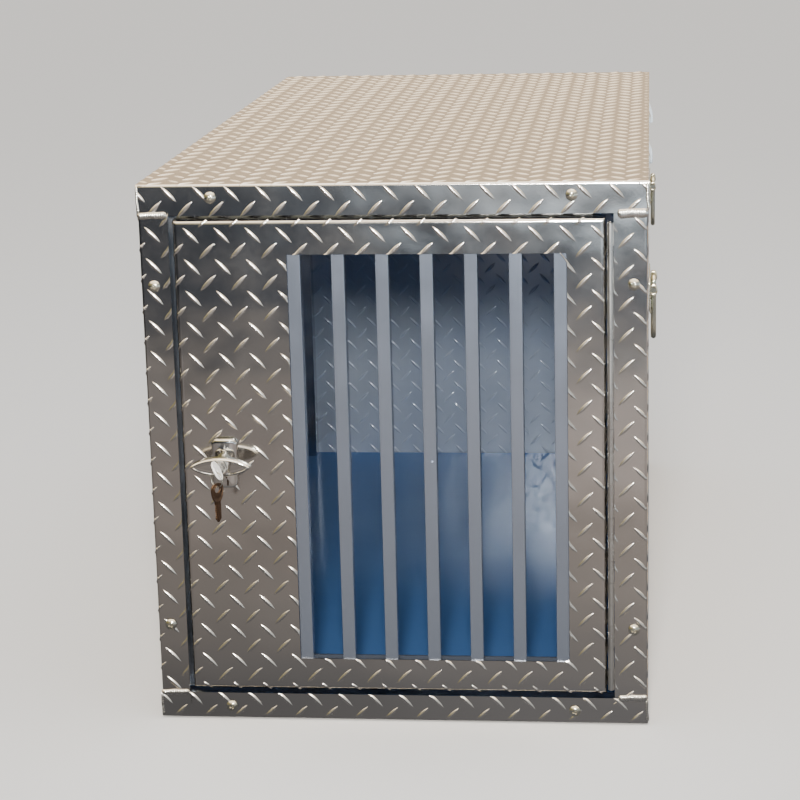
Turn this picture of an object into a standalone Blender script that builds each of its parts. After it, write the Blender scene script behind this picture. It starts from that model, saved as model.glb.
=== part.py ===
"""Truck dog box of diamond-plate aluminium, with a barred door on a piano hinge.

Metres, +Z up. The front faces -Y, and the origin is the middle of the underside.
Sheets are modelled to the crests of their raised tread pattern.
"""

import math

import bmesh
import bpy
from mathutils import Euler, Matrix, Vector

MM = 0.001

# Overall box
WIDTH = 559 * MM
HEIGHT = 622 * MM
DEPTH = 1118 * MM

# Tread sheet, folded over at the front and the rear
SHEET = 2.8 * MM
FOLD_RADIUS = 3.0 * MM
FOLD_STEPS = 3
TOP_RAIL = 36 * MM
BOTTOM_RAIL = 31.5 * MM
LATCH_STILE = 34 * MM
HINGE_STILE = 37.5 * MM
REAR_LIP = 34 * MM
SEAT = 0.3 * MM

# Square tube frame, front and rear, and the floor board
TUBE = 25.4 * MM
TUBE_WALL = 3.0 * MM
FLOOR_BOARD = 12.7 * MM

# Pressed vents high on both sides
LOUVRE_LENGTH = 100 * MM
LOUVRE_HEIGHT = 20 * MM
LOUVRE_PROUD = 5 * MM
LOUVRE_SKIN = 1.6 * MM
LOUVRE_THROAT = 1.2 * MM
LOUVRE_LIP = 0.3 * MM
LOUVRE_FROM_REAR = 224 * MM
LOUVRE_DROPS = (36 * MM, 94 * MM)

# Dome-head screws through the folds into the tubes
SCREW_HEAD_RADIUS = 5.3 * MM
SCREW_HEAD_RISE = 2.6 * MM
SCREW_SHANK_RADIUS = 2.4 * MM
SCREW_CLEARANCE = 0.4 * MM
SCREW_FROM_SIDE = 82.5 * MM
SCREW_FROM_TOP = 114 * MM
SCREW_FROM_BASE = 114 * MM

# Weld beads where the stiles meet the rails
BEAD_LENGTH = 34 * MM
BEAD_HEIGHT = 8 * MM
BEAD_RISE = 1.6 * MM

# Door
DOOR_GAP = 3.5 * MM
DOOR_BOTTOM_GAP = 4.5 * MM
DOOR_RADIUS = 6.0 * MM
DOOR_RETURN = 22 * MM
WINDOW_FROM_HINGE = 42.9 * MM
WINDOW_FROM_LATCH_EDGE = 126.8 * MM
WINDOW_FROM_TOP = 40 * MM
WINDOW_FROM_BOTTOM = 38.5 * MM

# Window bars, welded behind the skin between two flat rails
BARS = 7
BAR_WIDTH = 14.5 * MM
BAR_DEPTH = 16 * MM
BAR_LAP = 15 * MM
BAR_EDGE = 0.8 * MM
BAR_RAIL_HEIGHT = 16 * MM
BAR_RAIL_THICK = 3 * MM
BAR_HOLE_RADIUS = 1.8 * MM
BAR_HOLE_DEPTH = 4 * MM
BAR_WITH_HOLE = 3

# Piano hinge
KNUCKLE_RADIUS = 3.5 * MM
KNUCKLE_LENGTH = 25.4 * MM
KNUCKLE_GAP = 0.4 * MM
KNUCKLE_SIDES = 10
LEAF = 1.5 * MM
DOOR_LEAF_WIDTH = 20 * MM
PIN_RADIUS = 1.3 * MM
PIN_CLEARANCE = 0.5 * MM
PIN_PROUD = 1.5 * MM

# Strips that the door closes against
STOP_WIDTH = 15.4 * MM
STOP_THICK = 3 * MM

# Latch
LATCH_FROM_EDGE = 49.4 * MM
LATCH_HEIGHT = 311 * MM
BASE_WIDTH = 29 * MM
BASE_LENGTH = 56 * MM
BASE_THICK = 8 * MM
BASE_EDGE = 1.8 * MM
BASE_CORNER = 7 * MM
BOSS_RADIUS = 9.5 * MM
BOSS_CLEARANCE = 0.5 * MM
NUT_ACROSS = 28 * MM
NUT_THICK = 5 * MM
HUB_RADIUS = 10.5 * MM
HUB_LENGTH = 14 * MM
BLADE_LENGTH = 68 * MM
BLADE_HEIGHT = 19.5 * MM
BLADE_THICK = 14 * MM
SHAFT_SIDE = 8 * MM
SHAFT_IN_HUB = 10 * MM
SHAFT_CLEARANCE = 0.3 * MM
CAM_LENGTH = 68 * MM
CAM_WIDTH = 20 * MM
CAM_THICK = 3 * MM
CAM_SCREW_RADIUS = 6.5 * MM
CAM_SCREW_RISE = 4 * MM
PLUG_RADIUS = 6.2 * MM
PLUG_DEPTH = 12.5 * MM
PLUG_PROUD = 1.2 * MM
KEY_TILT = math.radians(-27)
KEY_THICK = 2.0 * MM
KEY_BLADE_WIDTH = 8.0 * MM
KEY_BLADE_LENGTH = 24 * MM
KEY_IN_PLUG = 10.5 * MM
KEY_BOW_WIDTH = 22 * MM
KEY_BOW_LENGTH = 23 * MM
KEY_BOW_SWEEP = 155
KEY_HOLE_RADIUS = 4.0 * MM
KEY_HOLE_FROM_END = 7.0 * MM
KEY_CLEARANCE = 0.3 * MM
RING_RADIUS = 8.5 * MM
RING_WIRE = 0.8 * MM
RING_DROP = 0.4 * MM
RING_TURN = math.radians(-35)

# Drop handles on the sides
HANDLE_FROM_END = 173 * MM
HANDLE_FROM_TOP = 131 * MM
PLATE_LENGTH = 100 * MM
PLATE_HEIGHT = 40 * MM
PLATE_THICK = 1.5 * MM
PLATE_CORNER = 8 * MM
PIVOT_FROM_PLATE_TOP = 15 * MM
ROD_RADIUS = 3.1 * MM
ROD_CLEARANCE = 0.3 * MM
ROD_OFF_PLATE = 0.5 * MM
EAR_SHOULDER = 3.6 * MM
EAR_WALL = 1.2 * MM
EAR_THICK = 6 * MM
EAR_FROM_PLATE_END = 9 * MM
BAIL_LEG_INSET = 7 * MM
BAIL_BEND = 6 * MM
BAIL_CORNER = 12 * MM
BAIL_DROP = 58 * MM

# Sizes, planes and edges that follow from the sizes above
EAR_HOLE_RADIUS = ROD_RADIUS + ROD_CLEARANCE
EAR_HALF_HEIGHT = EAR_HOLE_RADIUS + EAR_SHOULDER
EAR_SPACING = PLATE_LENGTH - 2 * EAR_FROM_PLATE_END
PIVOT_PROUD = SEAT + PLATE_THICK + ROD_OFF_PLATE + ROD_RADIUS

FRONT = -DEPTH / 2
REAR = DEPTH / 2
LEFT = -WIDTH / 2
RIGHT = WIDTH / 2
FOLD_BACK = FRONT + SHEET + SEAT
INNER_LEFT = LEFT + SHEET + SEAT
INNER_RIGHT = RIGHT - SHEET - SEAT
INNER_BASE = SHEET + SEAT
INNER_TOP = HEIGHT - SHEET - SEAT
STILE_EDGE_LEFT = LEFT + LATCH_STILE
STILE_EDGE_RIGHT = RIGHT - HINGE_STILE
RAIL_EDGE_TOP = HEIGHT - TOP_RAIL
TUBE_BACK = FOLD_BACK + TUBE

# The hinge has as many whole knuckles as the door's opening is high.
KNUCKLES = int((RAIL_EDGE_TOP - BOTTOM_RAIL) // KNUCKLE_LENGTH)
HINGE_X = STILE_EDGE_RIGHT - SEAT - KNUCKLE_RADIUS
HINGE_Y = FOLD_BACK + LEAF - KNUCKLE_RADIUS
HINGE_LOW = BOTTOM_RAIL + (RAIL_EDGE_TOP - BOTTOM_RAIL - KNUCKLES * KNUCKLE_LENGTH) / 2

DOOR_LEFT = STILE_EDGE_LEFT + DOOR_GAP
DOOR_RIGHT = HINGE_X - KNUCKLE_RADIUS - SEAT
DOOR_TOP = RAIL_EDGE_TOP - DOOR_GAP
DOOR_BOTTOM = BOTTOM_RAIL + DOOR_BOTTOM_GAP
DOOR_INSIDE = FRONT + SHEET + SEAT
DOOR_BACK = FRONT + DOOR_RETURN
STOP_FRONT = DOOR_BACK + SEAT
STOP_BACK = STOP_FRONT + STOP_THICK

WINDOW_RIGHT = DOOR_RIGHT - WINDOW_FROM_HINGE
WINDOW_LEFT = DOOR_LEFT + WINDOW_FROM_LATCH_EDGE
BAR_PITCH = (WINDOW_RIGHT - WINDOW_LEFT - BAR_WIDTH) / (BARS - 1)
WINDOW_TOP = DOOR_TOP - WINDOW_FROM_TOP
WINDOW_BOTTOM = DOOR_BOTTOM + WINDOW_FROM_BOTTOM
BAR_BACK = DOOR_INSIDE + BAR_DEPTH

LATCH = Vector((DOOR_LEFT + LATCH_FROM_EDGE, FRONT, LATCH_HEIGHT))
BASE_FRONT = FRONT - SEAT - BASE_THICK
HUB_BACK = BASE_FRONT - SEAT
BLADE_BACK = HUB_BACK - HUB_LENGTH
BLADE_FRONT = BLADE_BACK - BLADE_THICK
CAM_FRONT = max(TUBE_BACK, STOP_BACK) + SEAT
CAM_BACK = CAM_FRONT + CAM_THICK
PLUG_FRONT = BLADE_FRONT - PLUG_PROUD
PLUG_BACK = PLUG_FRONT + PLUG_DEPTH

# The key's bow starts just clear of the plug, and its hole is near the bow's outer end.
KEY_BOW_START = PLUG_FRONT - 2 * KEY_CLEARANCE
KEY_HOLE = Vector((LATCH.x, KEY_BOW_START - KEY_BOW_LENGTH + KEY_HOLE_FROM_END, LATCH.z))
RING_MIDDLE = KEY_HOLE - Vector((0, 0, RING_DROP + RING_RADIUS))
RING_BOTTOM = RING_MIDDLE - Vector((0, 0, RING_RADIUS))
SPARE_HOLE = RING_BOTTOM - Vector((0, 0, KEY_HOLE_RADIUS - RING_WIRE - 2 * KEY_CLEARANCE))


def material(name, colour, roughness, metallic):
    made = bpy.data.materials.new(name)
    made.use_nodes = True
    shader = made.node_tree.nodes["Principled BSDF"]
    shader.inputs["Base Color"].default_value = (*colour, 1.0)
    shader.inputs["Roughness"].default_value = roughness
    shader.inputs["Metallic"].default_value = metallic
    made.diffuse_color = (*colour, 1.0)
    return made


def add(name, mesh, look, at=(0, 0, 0), turn=(0, 0, 0), parent=None):
    """One object, whose mesh is given about its own origin, placed in world space."""
    made = bpy.data.objects.new(name, mesh)
    bpy.context.scene.collection.objects.link(made)
    if look:
        made.data.materials.append(look)
    place = Matrix.Translation(Vector(at)) @ Euler(turn).to_matrix().to_4x4()
    made.matrix_world = place
    if parent:
        made.parent = parent
        made.matrix_parent_inverse = Matrix.Translation(-parent.location)
    return made


def empty(name, at):
    made = bpy.data.objects.new(name, None)
    made.empty_display_size = 0.03
    made.location = at
    bpy.context.scene.collection.objects.link(made)
    return made


def finished(bm, name, smooth=False):
    bmesh.ops.recalc_face_normals(bm, faces=bm.faces)
    mesh = bpy.data.meshes.new(name)
    bm.to_mesh(mesh)
    bm.free()
    if smooth:
        mesh.shade_smooth()
        mesh.set_sharp_from_angle(angle=math.radians(40))
    return mesh


def box_mesh(name, lo, hi):
    bm = bmesh.new()
    bmesh.ops.create_cube(bm, size=1.0)
    lo = Vector(lo)
    hi = Vector(hi)
    for vert in bm.verts:
        vert.co = Vector(lo[i] + (hi[i] - lo[i]) * (vert.co[i] + 0.5) for i in range(3))
    return finished(bm, name)


def on_axis(axis, a, b, along):
    """A point with its two profile coordinates, in XYZ order, and its place along the axis."""
    if axis == "X":
        return (along, a, b)
    if axis == "Y":
        return (a, along, b)
    return (a, b, along)


def lofted(name, rings, smooth=False):
    """Rings with as many points each, bridged in turn and closed at both ends."""
    bm = bmesh.new()
    rows = [[bm.verts.new(point) for point in ring] for ring in rings]
    count = len(rows[0])
    for row, following in zip(rows, rows[1:]):
        for i in range(count):
            j = (i + 1) % count
            bm.faces.new((row[i], row[j], following[j], following[i]))
    bm.faces.new(rows[0])
    bm.faces.new(rows[-1])
    return finished(bm, name, smooth)


def prism(name, outline, axis, lo, hi, smooth=False):
    return lofted(
        name,
        [[on_axis(axis, a, b, along) for a, b in outline] for along in (lo, hi)],
        smooth,
    )


def circle(radius, sides, centre=(0.0, 0.0), phase=0.5):
    turns = [2 * math.pi * (i + phase) / sides for i in range(sides)]
    return [
        (centre[0] + radius * math.cos(turn), centre[1] + radius * math.sin(turn))
        for turn in turns
    ]


def arc(centre, radii, start, end, steps):
    """Points of an ellipse's arc from one angle to another, in degrees."""
    found = []
    for i in range(steps + 1):
        turn = math.radians(start + (end - start) * i / steps)
        found.append(
            (centre[0] + radii[0] * math.cos(turn), centre[1] + radii[1] * math.sin(turn))
        )
    return found


def rounded_rectangle(width, height, radius, steps):
    points = []
    corners = ((1, 1, 0), (-1, 1, 90), (-1, -1, 180), (1, -1, 270))
    for sign_a, sign_b, start in corners:
        centre = (sign_a * (width / 2 - radius), sign_b * (height / 2 - radius))
        points += arc(centre, (radius, radius), start, start + 90, steps)
    return points


def channel(lo, hi, web, lip_lo, lip_hi):
    """A sheet folded the same way at both ends.

    lo and hi are the outer faces of the lips, web is the outer face between
    them, and lip_lo and lip_hi are where the lips end.
    """
    into = 1 if lip_lo > web else -1
    radius = FOLD_RADIUS
    near = arc((lo + radius, web + into * radius), (radius, radius * into), 180, 270, FOLD_STEPS)
    far = arc((hi - radius, web + into * radius), (radius, radius * into), 270, 360, FOLD_STEPS)
    inner = web + into * SHEET
    return (
        [(lo, lip_lo)]
        + near
        + far
        + [
            (hi, lip_hi),
            (hi - SHEET, lip_hi),
            (hi - SHEET, inner),
            (lo + SHEET, inner),
            (lo + SHEET, lip_lo),
        ]
    )


def cutter(name, mesh, at=(0, 0, 0), turn=(0, 0, 0)):
    made = add(name, mesh, None, at, turn)
    made.hide_render = True
    made.display_type = "WIRE"
    return made


def boolean(obj, other, operation):
    made = obj.modifiers.new(f"{operation.lower()} {other.name}", "BOOLEAN")
    made.operation = operation
    made.solver = "EXACT"
    made.object = other


def holes_mesh(name, centres, radius, sides, axis, lo, hi):
    """Separate cylinders along one axis, to cut several holes at once."""
    bm = bmesh.new()
    for centre in centres:
        ring = circle(radius, sides, centre)
        ends = []
        for along in (lo, hi):
            ends.append([bm.verts.new(on_axis(axis, a, b, along)) for a, b in ring])
        for i in range(sides):
            j = (i + 1) % sides
            bm.faces.new((ends[0][i], ends[0][j], ends[1][j], ends[1][i]))
        bm.faces.new(ends[0])
        bm.faces.new(ends[1])
    return finished(bm, name)


def pan_mesh(name, lo, hi, radius, steps):
    """A block whose four front edges, towards -Y, are rounded."""
    bm = bmesh.new()
    bmesh.ops.create_cube(bm, size=1.0)
    for vert in bm.verts:
        vert.co = Vector(lo[i] + (hi[i] - lo[i]) * (vert.co[i] + 0.5) for i in range(3))
    bm.edges.ensure_lookup_table()
    front = [edge for edge in bm.edges if all(abs(v.co.y - lo[1]) < 1e-6 for v in edge.verts)]
    bmesh.ops.bevel(
        bm, geom=front, offset=radius, segments=steps, profile=0.5, affect="EDGES"
    )
    return finished(bm, name, smooth=True)


def clear_scene():
    for obj in list(bpy.data.objects):
        bpy.data.objects.remove(obj, do_unlink=True)


def make_looks():
    return {
        "tread": material("tread_plate", (0.80, 0.80, 0.79), 0.22, 1.0),
        "tube": material("frame_tube", (0.66, 0.68, 0.70), 0.38, 1.0),
        "board": material("floor_board", (0.035, 0.12, 0.26), 0.16, 0.0),
        "bar": material("brushed_bar", (0.70, 0.71, 0.72), 0.34, 1.0),
        "weld": material("weld_bead", (0.76, 0.76, 0.77), 0.30, 1.0),
        "screw": material("screw_zinc", (0.72, 0.73, 0.72), 0.25, 1.0),
        "hinge": material("hinge_aluminium", (0.74, 0.74, 0.73), 0.32, 1.0),
        "chrome": material("chrome", (0.86, 0.86, 0.86), 0.08, 1.0),
        "steel": material("zinc_steel", (0.62, 0.62, 0.60), 0.40, 1.0),
        "plug": material("lock_plug", (0.55, 0.55, 0.54), 0.30, 1.0),
        "key": material("key_nickel", (0.88, 0.88, 0.86), 0.18, 1.0),
        "brass": material("key_brass", (0.46, 0.31, 0.15), 0.35, 1.0),
        "cast": material("handle_cast", (0.78, 0.76, 0.68), 0.30, 1.0),
        "rod": material("handle_rod", (0.70, 0.71, 0.68), 0.16, 1.0),
    }


def screw_places():
    """Name and (x, z) of each screw: two in each rail and two in each stile."""
    side = WIDTH / 2 - SCREW_FROM_SIDE
    head = INNER_TOP - TUBE / 2
    sill = INNER_BASE + TUBE / 2
    left = INNER_LEFT + TUBE / 2
    right = INNER_RIGHT - TUBE / 2
    high = HEIGHT - SCREW_FROM_TOP
    return {
        "screw_head_left": (-side, head),
        "screw_head_right": (side, head),
        "screw_sill_left": (-side, sill),
        "screw_sill_right": (side, sill),
        "screw_latch_upper": (left, high),
        "screw_latch_lower": (left, SCREW_FROM_BASE),
        "screw_hinge_upper": (right, high),
        "screw_hinge_lower": (right, SCREW_FROM_BASE),
    }


def make_sheets(looks):
    """The folded sheets of the body, the rear sheet and the floor board."""
    top = add(
        "top_sheet",
        prism(
            "top_sheet",
            channel(FRONT, REAR, HEIGHT, RAIL_EDGE_TOP, HEIGHT - REAR_LIP),
            "X",
            LEFT,
            RIGHT,
        ),
        looks["tread"],
    )
    floor = add(
        "floor_sheet",
        prism(
            "floor_sheet",
            channel(FRONT, REAR, 0.0, BOTTOM_RAIL, REAR_LIP),
            "X",
            LEFT,
            RIGHT,
        ),
        looks["tread"],
    )
    # The side walls lap behind the rails, so their own folds stop short of them.
    notches = {
        "notch_top_front": (RAIL_EDGE_TOP - SEAT, HEIGHT + TUBE),
        "notch_top_rear": (HEIGHT - REAR_LIP - SEAT, HEIGHT + TUBE),
        "notch_base_front": (-TUBE, BOTTOM_RAIL + SEAT),
        "notch_base_rear": (-TUBE, REAR_LIP + SEAT),
    }
    cutters = []
    for name, (low, high) in notches.items():
        front = name.endswith("front")
        near = FRONT - TUBE if front else REAR - SHEET - SEAT
        far = FOLD_BACK if front else REAR + TUBE
        shape = box_mesh(name, (LEFT - TUBE, near, low), (RIGHT + TUBE, far, high))
        cutters.append(cutter(name, shape))
    sides = []
    for name, web, inward, stile in (
        ("left_side_sheet", LEFT, 1, LATCH_STILE),
        ("right_side_sheet", RIGHT, -1, HINGE_STILE),
    ):
        outline = [
            (x, y)
            for y, x in channel(FRONT, REAR, web, web + inward * stile, web + inward * REAR_LIP)
        ]
        side = add(name, prism(name, outline, "Z", INNER_BASE, INNER_TOP), looks["tread"])
        for notch in cutters:
            boolean(side, notch, "DIFFERENCE")
        add_louvres(side, web, -inward)
        sides.append(side)
    rear_inside = REAR - SHEET - SEAT - SHEET
    add(
        "rear_sheet",
        box_mesh(
            "rear_sheet",
            (INNER_LEFT, rear_inside, INNER_BASE),
            (INNER_RIGHT, rear_inside + SHEET, INNER_TOP),
        ),
        looks["tread"],
    )
    add(
        "floor_board",
        box_mesh(
            "floor_board",
            (INNER_LEFT, TUBE_BACK + SEAT, INNER_BASE),
            (INNER_RIGHT, rear_inside - SEAT, INNER_BASE + FLOOR_BOARD),
        ),
        looks["board"],
    )
    return top, floor, sides


def add_louvres(side, web, outward):
    """Vents pressed outwards from a side wall, each open along its lower edge."""
    middle = REAR - LOUVRE_FROM_REAR
    half = LOUVRE_LENGTH / 2
    inside = SHEET + LOUVRE_THROAT
    lip = LOUVRE_LIP
    for number, drop in enumerate(LOUVRE_DROPS):
        high = HEIGHT - drop + LOUVRE_HEIGHT / 2
        low = high - LOUVRE_HEIGHT
        hood = [(-SHEET / 2, high), (0, high), (LOUVRE_PROUD, low), (-SHEET / 2, low)]
        throat = LOUVRE_PROUD - LOUVRE_SKIN
        hollow = [
            (-inside, high - LOUVRE_SKIN * 2),
            (-LOUVRE_SKIN, high - LOUVRE_SKIN * 2),
            (throat, low - LOUVRE_SKIN),
            (lip, low - LOUVRE_SKIN),
            (lip, low + lip),
            (-inside, low + lip),
        ]
        shapes = (
            ("hood", hood, half, "UNION"),
            ("hollow", hollow, half - LOUVRE_SKIN, "DIFFERENCE"),
        )
        for what, profile, reach, operation in shapes:
            name = f"{side.name}_{what}_{number}"
            outline = [(web + outward * out, z) for out, z in profile]
            shape = cutter(name, prism(name, outline, "Y", middle - reach, middle + reach))
            boolean(side, shape, operation)


def tube_mesh(name, axis, lo, hi):
    """A square tube, open at both ends, filling the block from lo to hi."""
    order = {"X": (1, 2), "Y": (0, 2), "Z": (0, 1)}[axis]
    along = {"X": 0, "Y": 1, "Z": 2}[axis]
    bm = bmesh.new()
    loops = []
    for wall, end in ((0, lo), (0, hi), (TUBE_WALL, hi), (TUBE_WALL, lo)):
        a_lo, a_hi = lo[order[0]] + wall, hi[order[0]] - wall
        b_lo, b_hi = lo[order[1]] + wall, hi[order[1]] - wall
        corners = ((a_lo, b_lo), (a_hi, b_lo), (a_hi, b_hi), (a_lo, b_hi))
        loops.append([bm.verts.new(on_axis(axis, a, b, end[along])) for a, b in corners])
    for loop, following in zip(loops, loops[1:] + loops[:1]):
        for i in range(4):
            j = (i + 1) % 4
            bm.faces.new((loop[i], loop[j], following[j], following[i]))
    return finished(bm, name)


def make_frame(looks):
    """Square tubes behind the front folds, and the two posts in the rear corners."""
    rear_inside = REAR - SHEET - SEAT - SHEET - SEAT
    board_top = INNER_BASE + FLOOR_BOARD + SEAT
    pieces = {
        "jamb_latch_side": (
            "Z",
            (INNER_LEFT, FOLD_BACK, INNER_BASE),
            (INNER_LEFT + TUBE, TUBE_BACK, INNER_TOP),
        ),
        "jamb_hinge_side": (
            "Z",
            (INNER_RIGHT - TUBE, FOLD_BACK, INNER_BASE),
            (INNER_RIGHT, TUBE_BACK, INNER_TOP),
        ),
        "head_tube": (
            "X",
            (INNER_LEFT + TUBE + SEAT, FOLD_BACK, INNER_TOP - TUBE),
            (INNER_RIGHT - TUBE - SEAT, TUBE_BACK, INNER_TOP),
        ),
        "sill_tube": (
            "X",
            (INNER_LEFT + TUBE + SEAT, FOLD_BACK, INNER_BASE),
            (INNER_RIGHT - TUBE - SEAT, TUBE_BACK, INNER_BASE + TUBE),
        ),
        "rear_post_left": (
            "Z",
            (INNER_LEFT, rear_inside - TUBE, board_top),
            (INNER_LEFT + TUBE, rear_inside, INNER_TOP),
        ),
        "rear_post_right": (
            "Z",
            (INNER_RIGHT - TUBE, rear_inside - TUBE, board_top),
            (INNER_RIGHT, rear_inside, INNER_TOP),
        ),
    }
    made = {}
    for name, (axis, lo, hi) in pieces.items():
        made[name] = add(name, tube_mesh(name, axis, lo, hi), looks["tube"])
    # The door's two stops are flat strips welded to the tubes beside and above it.
    jamb_face = INNER_LEFT + TUBE + SEAT
    head_face = INNER_TOP - TUBE - SEAT
    add(
        "stop_latch_side",
        box_mesh(
            "stop_latch_side",
            (jamb_face, STOP_FRONT, max(BOTTOM_RAIL, INNER_BASE + TUBE) + SEAT),
            (jamb_face + STOP_WIDTH, STOP_BACK, head_face),
        ),
        looks["tube"],
    )
    add(
        "stop_top",
        box_mesh(
            "stop_top",
            (jamb_face + STOP_WIDTH + SEAT, STOP_FRONT, head_face - STOP_WIDTH),
            (DOOR_RIGHT - STOP_WIDTH, STOP_BACK, head_face),
        ),
        looks["tube"],
    )
    return made


def make_screws(looks, top, floor, sides, frame):
    """Dome-head screws, each in a hole through its fold and its tube."""
    places = screw_places()
    reach = SHEET + SEAT + TUBE_WALL
    ends = (FRONT - SHEET, FRONT + reach + SHEET)
    radius = SCREW_SHANK_RADIUS + SCREW_CLEARANCE
    drills = holes_mesh("screw_holes", places.values(), radius, 8, "Y", *ends)
    holes = cutter("screw_holes", drills)
    drilled = [top, floor, *sides]
    tubes = ("jamb_latch_side", "jamb_hinge_side", "head_tube", "sill_tube")
    drilled += [frame[name] for name in tubes]
    for obj in drilled:
        boolean(obj, holes, "DIFFERENCE")
    rings = []
    sides_count = 12
    for share in (0.0, 0.45, 0.8, 1.0):
        radius = SCREW_HEAD_RADIUS * math.cos(math.radians(78) * share)
        rise = SEAT + SCREW_HEAD_RISE * math.sin(math.radians(90) * share)
        rings.append([(a, -rise, b) for a, b in circle(radius, sides_count)])
    rings.reverse()
    shank = circle(SCREW_SHANK_RADIUS, sides_count)
    rings += [[(a, y, b) for a, b in shank] for y in (-SEAT, reach)]
    for name, (x, z) in places.items():
        add(name, lofted(name, rings, smooth=True), looks["screw"], at=(x, FRONT, z))


def make_welds(looks):
    """Beads on the front face over the seams between stiles and rails."""
    half = BEAD_LENGTH / 2
    places = {
        "weld_top_left": (LEFT + half, RAIL_EDGE_TOP),
        "weld_top_right": (RIGHT - half, RAIL_EDGE_TOP),
        "weld_base_left": (LEFT + half, BOTTOM_RAIL),
        "weld_base_right": (RIGHT - half, BOTTOM_RAIL),
    }
    rings = []
    for inset, rise in ((0.0, 0.0), (0.35, 0.45), (0.9, 0.8), (2.0, 1.0)):
        outline = rounded_rectangle(
            BEAD_LENGTH - 2 * inset * MM, BEAD_HEIGHT - 2 * inset * MM, (3.6 - inset) * MM / 2, 2
        )
        rings.append([(a, -SEAT - BEAD_RISE * rise, b) for a, b in outline])
    for name, (x, z) in places.items():
        add(name, lofted(name, rings, smooth=True), looks["weld"], at=(x, FRONT, z))


def hinge_leaf(name, look, leaf_along_y, reach, first, parent=None):
    """One leaf of the piano hinge with every second knuckle.

    The profile is about the pin: a round knuckle whose tail runs into the leaf.
    For the door's leaf the tail leaves the knuckle's latch side towards +Y,
    and for the frame's leaf it leaves the back towards +X.
    """
    radius = KNUCKLE_RADIUS
    inner = radius - LEAF
    root = radius + KNUCKLE_GAP * 2
    start = math.degrees(math.asin(inner / radius))
    round_part = arc((0, 0), (radius, radius), 90, 360 + start, KNUCKLE_SIDES)
    tail = [(root + KNUCKLE_GAP, inner), (root + KNUCKLE_GAP, radius)]
    leaf = [(root, inner), (reach, inner), (reach, radius), (root, radius)]

    def turned(points):
        if leaf_along_y:
            return [(-v, u) for u, v in points]
        return list(points)

    length = KNUCKLES * KNUCKLE_LENGTH
    body = add(
        name,
        prism(name, turned(leaf), "Z", 0.0, length),
        look,
        at=(HINGE_X, HINGE_Y, HINGE_LOW),
        parent=parent,
    )
    bm = bmesh.new()
    outline = turned(round_part + tail)
    for number in range(first, KNUCKLES, 2):
        low = number * KNUCKLE_LENGTH + KNUCKLE_GAP / 2
        rows = []
        for z in (low, low + KNUCKLE_LENGTH - KNUCKLE_GAP):
            rows.append([bm.verts.new((a, b, z)) for a, b in outline])
        for i in range(len(outline)):
            j = (i + 1) % len(outline)
            bm.faces.new((rows[0][i], rows[0][j], rows[1][j], rows[1][i]))
        bm.faces.new(rows[0])
        bm.faces.new(rows[1])
    place = (HINGE_X, HINGE_Y, HINGE_LOW)
    knuckles = cutter(f"{name}_knuckles", finished(bm, f"{name}_knuckles"), place)
    boolean(body, knuckles, "UNION")
    bore = cutter(
        f"{name}_bore",
        prism(f"{name}_bore", circle(PIN_RADIUS + PIN_CLEARANCE, 8), "Z", -LEAF, length + LEAF),
        place,
    )
    boolean(body, bore, "DIFFERENCE")
    return body


def make_hinge(looks, door):
    jamb_reach = INNER_RIGHT - TUBE - SEAT - HINGE_X
    hinge_leaf("hinge_leaf_frame", looks["hinge"], False, jamb_reach, 0)
    hinge_leaf("hinge_leaf_door", looks["hinge"], True, DOOR_LEAF_WIDTH, 1, door)
    length = KNUCKLES * KNUCKLE_LENGTH + 2 * PIN_PROUD
    add(
        "hinge_pin",
        prism("hinge_pin", circle(PIN_RADIUS, 8), "Z", 0.0, length, smooth=True),
        looks["steel"],
        at=(HINGE_X, HINGE_Y, HINGE_LOW - PIN_PROUD),
    )


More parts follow.
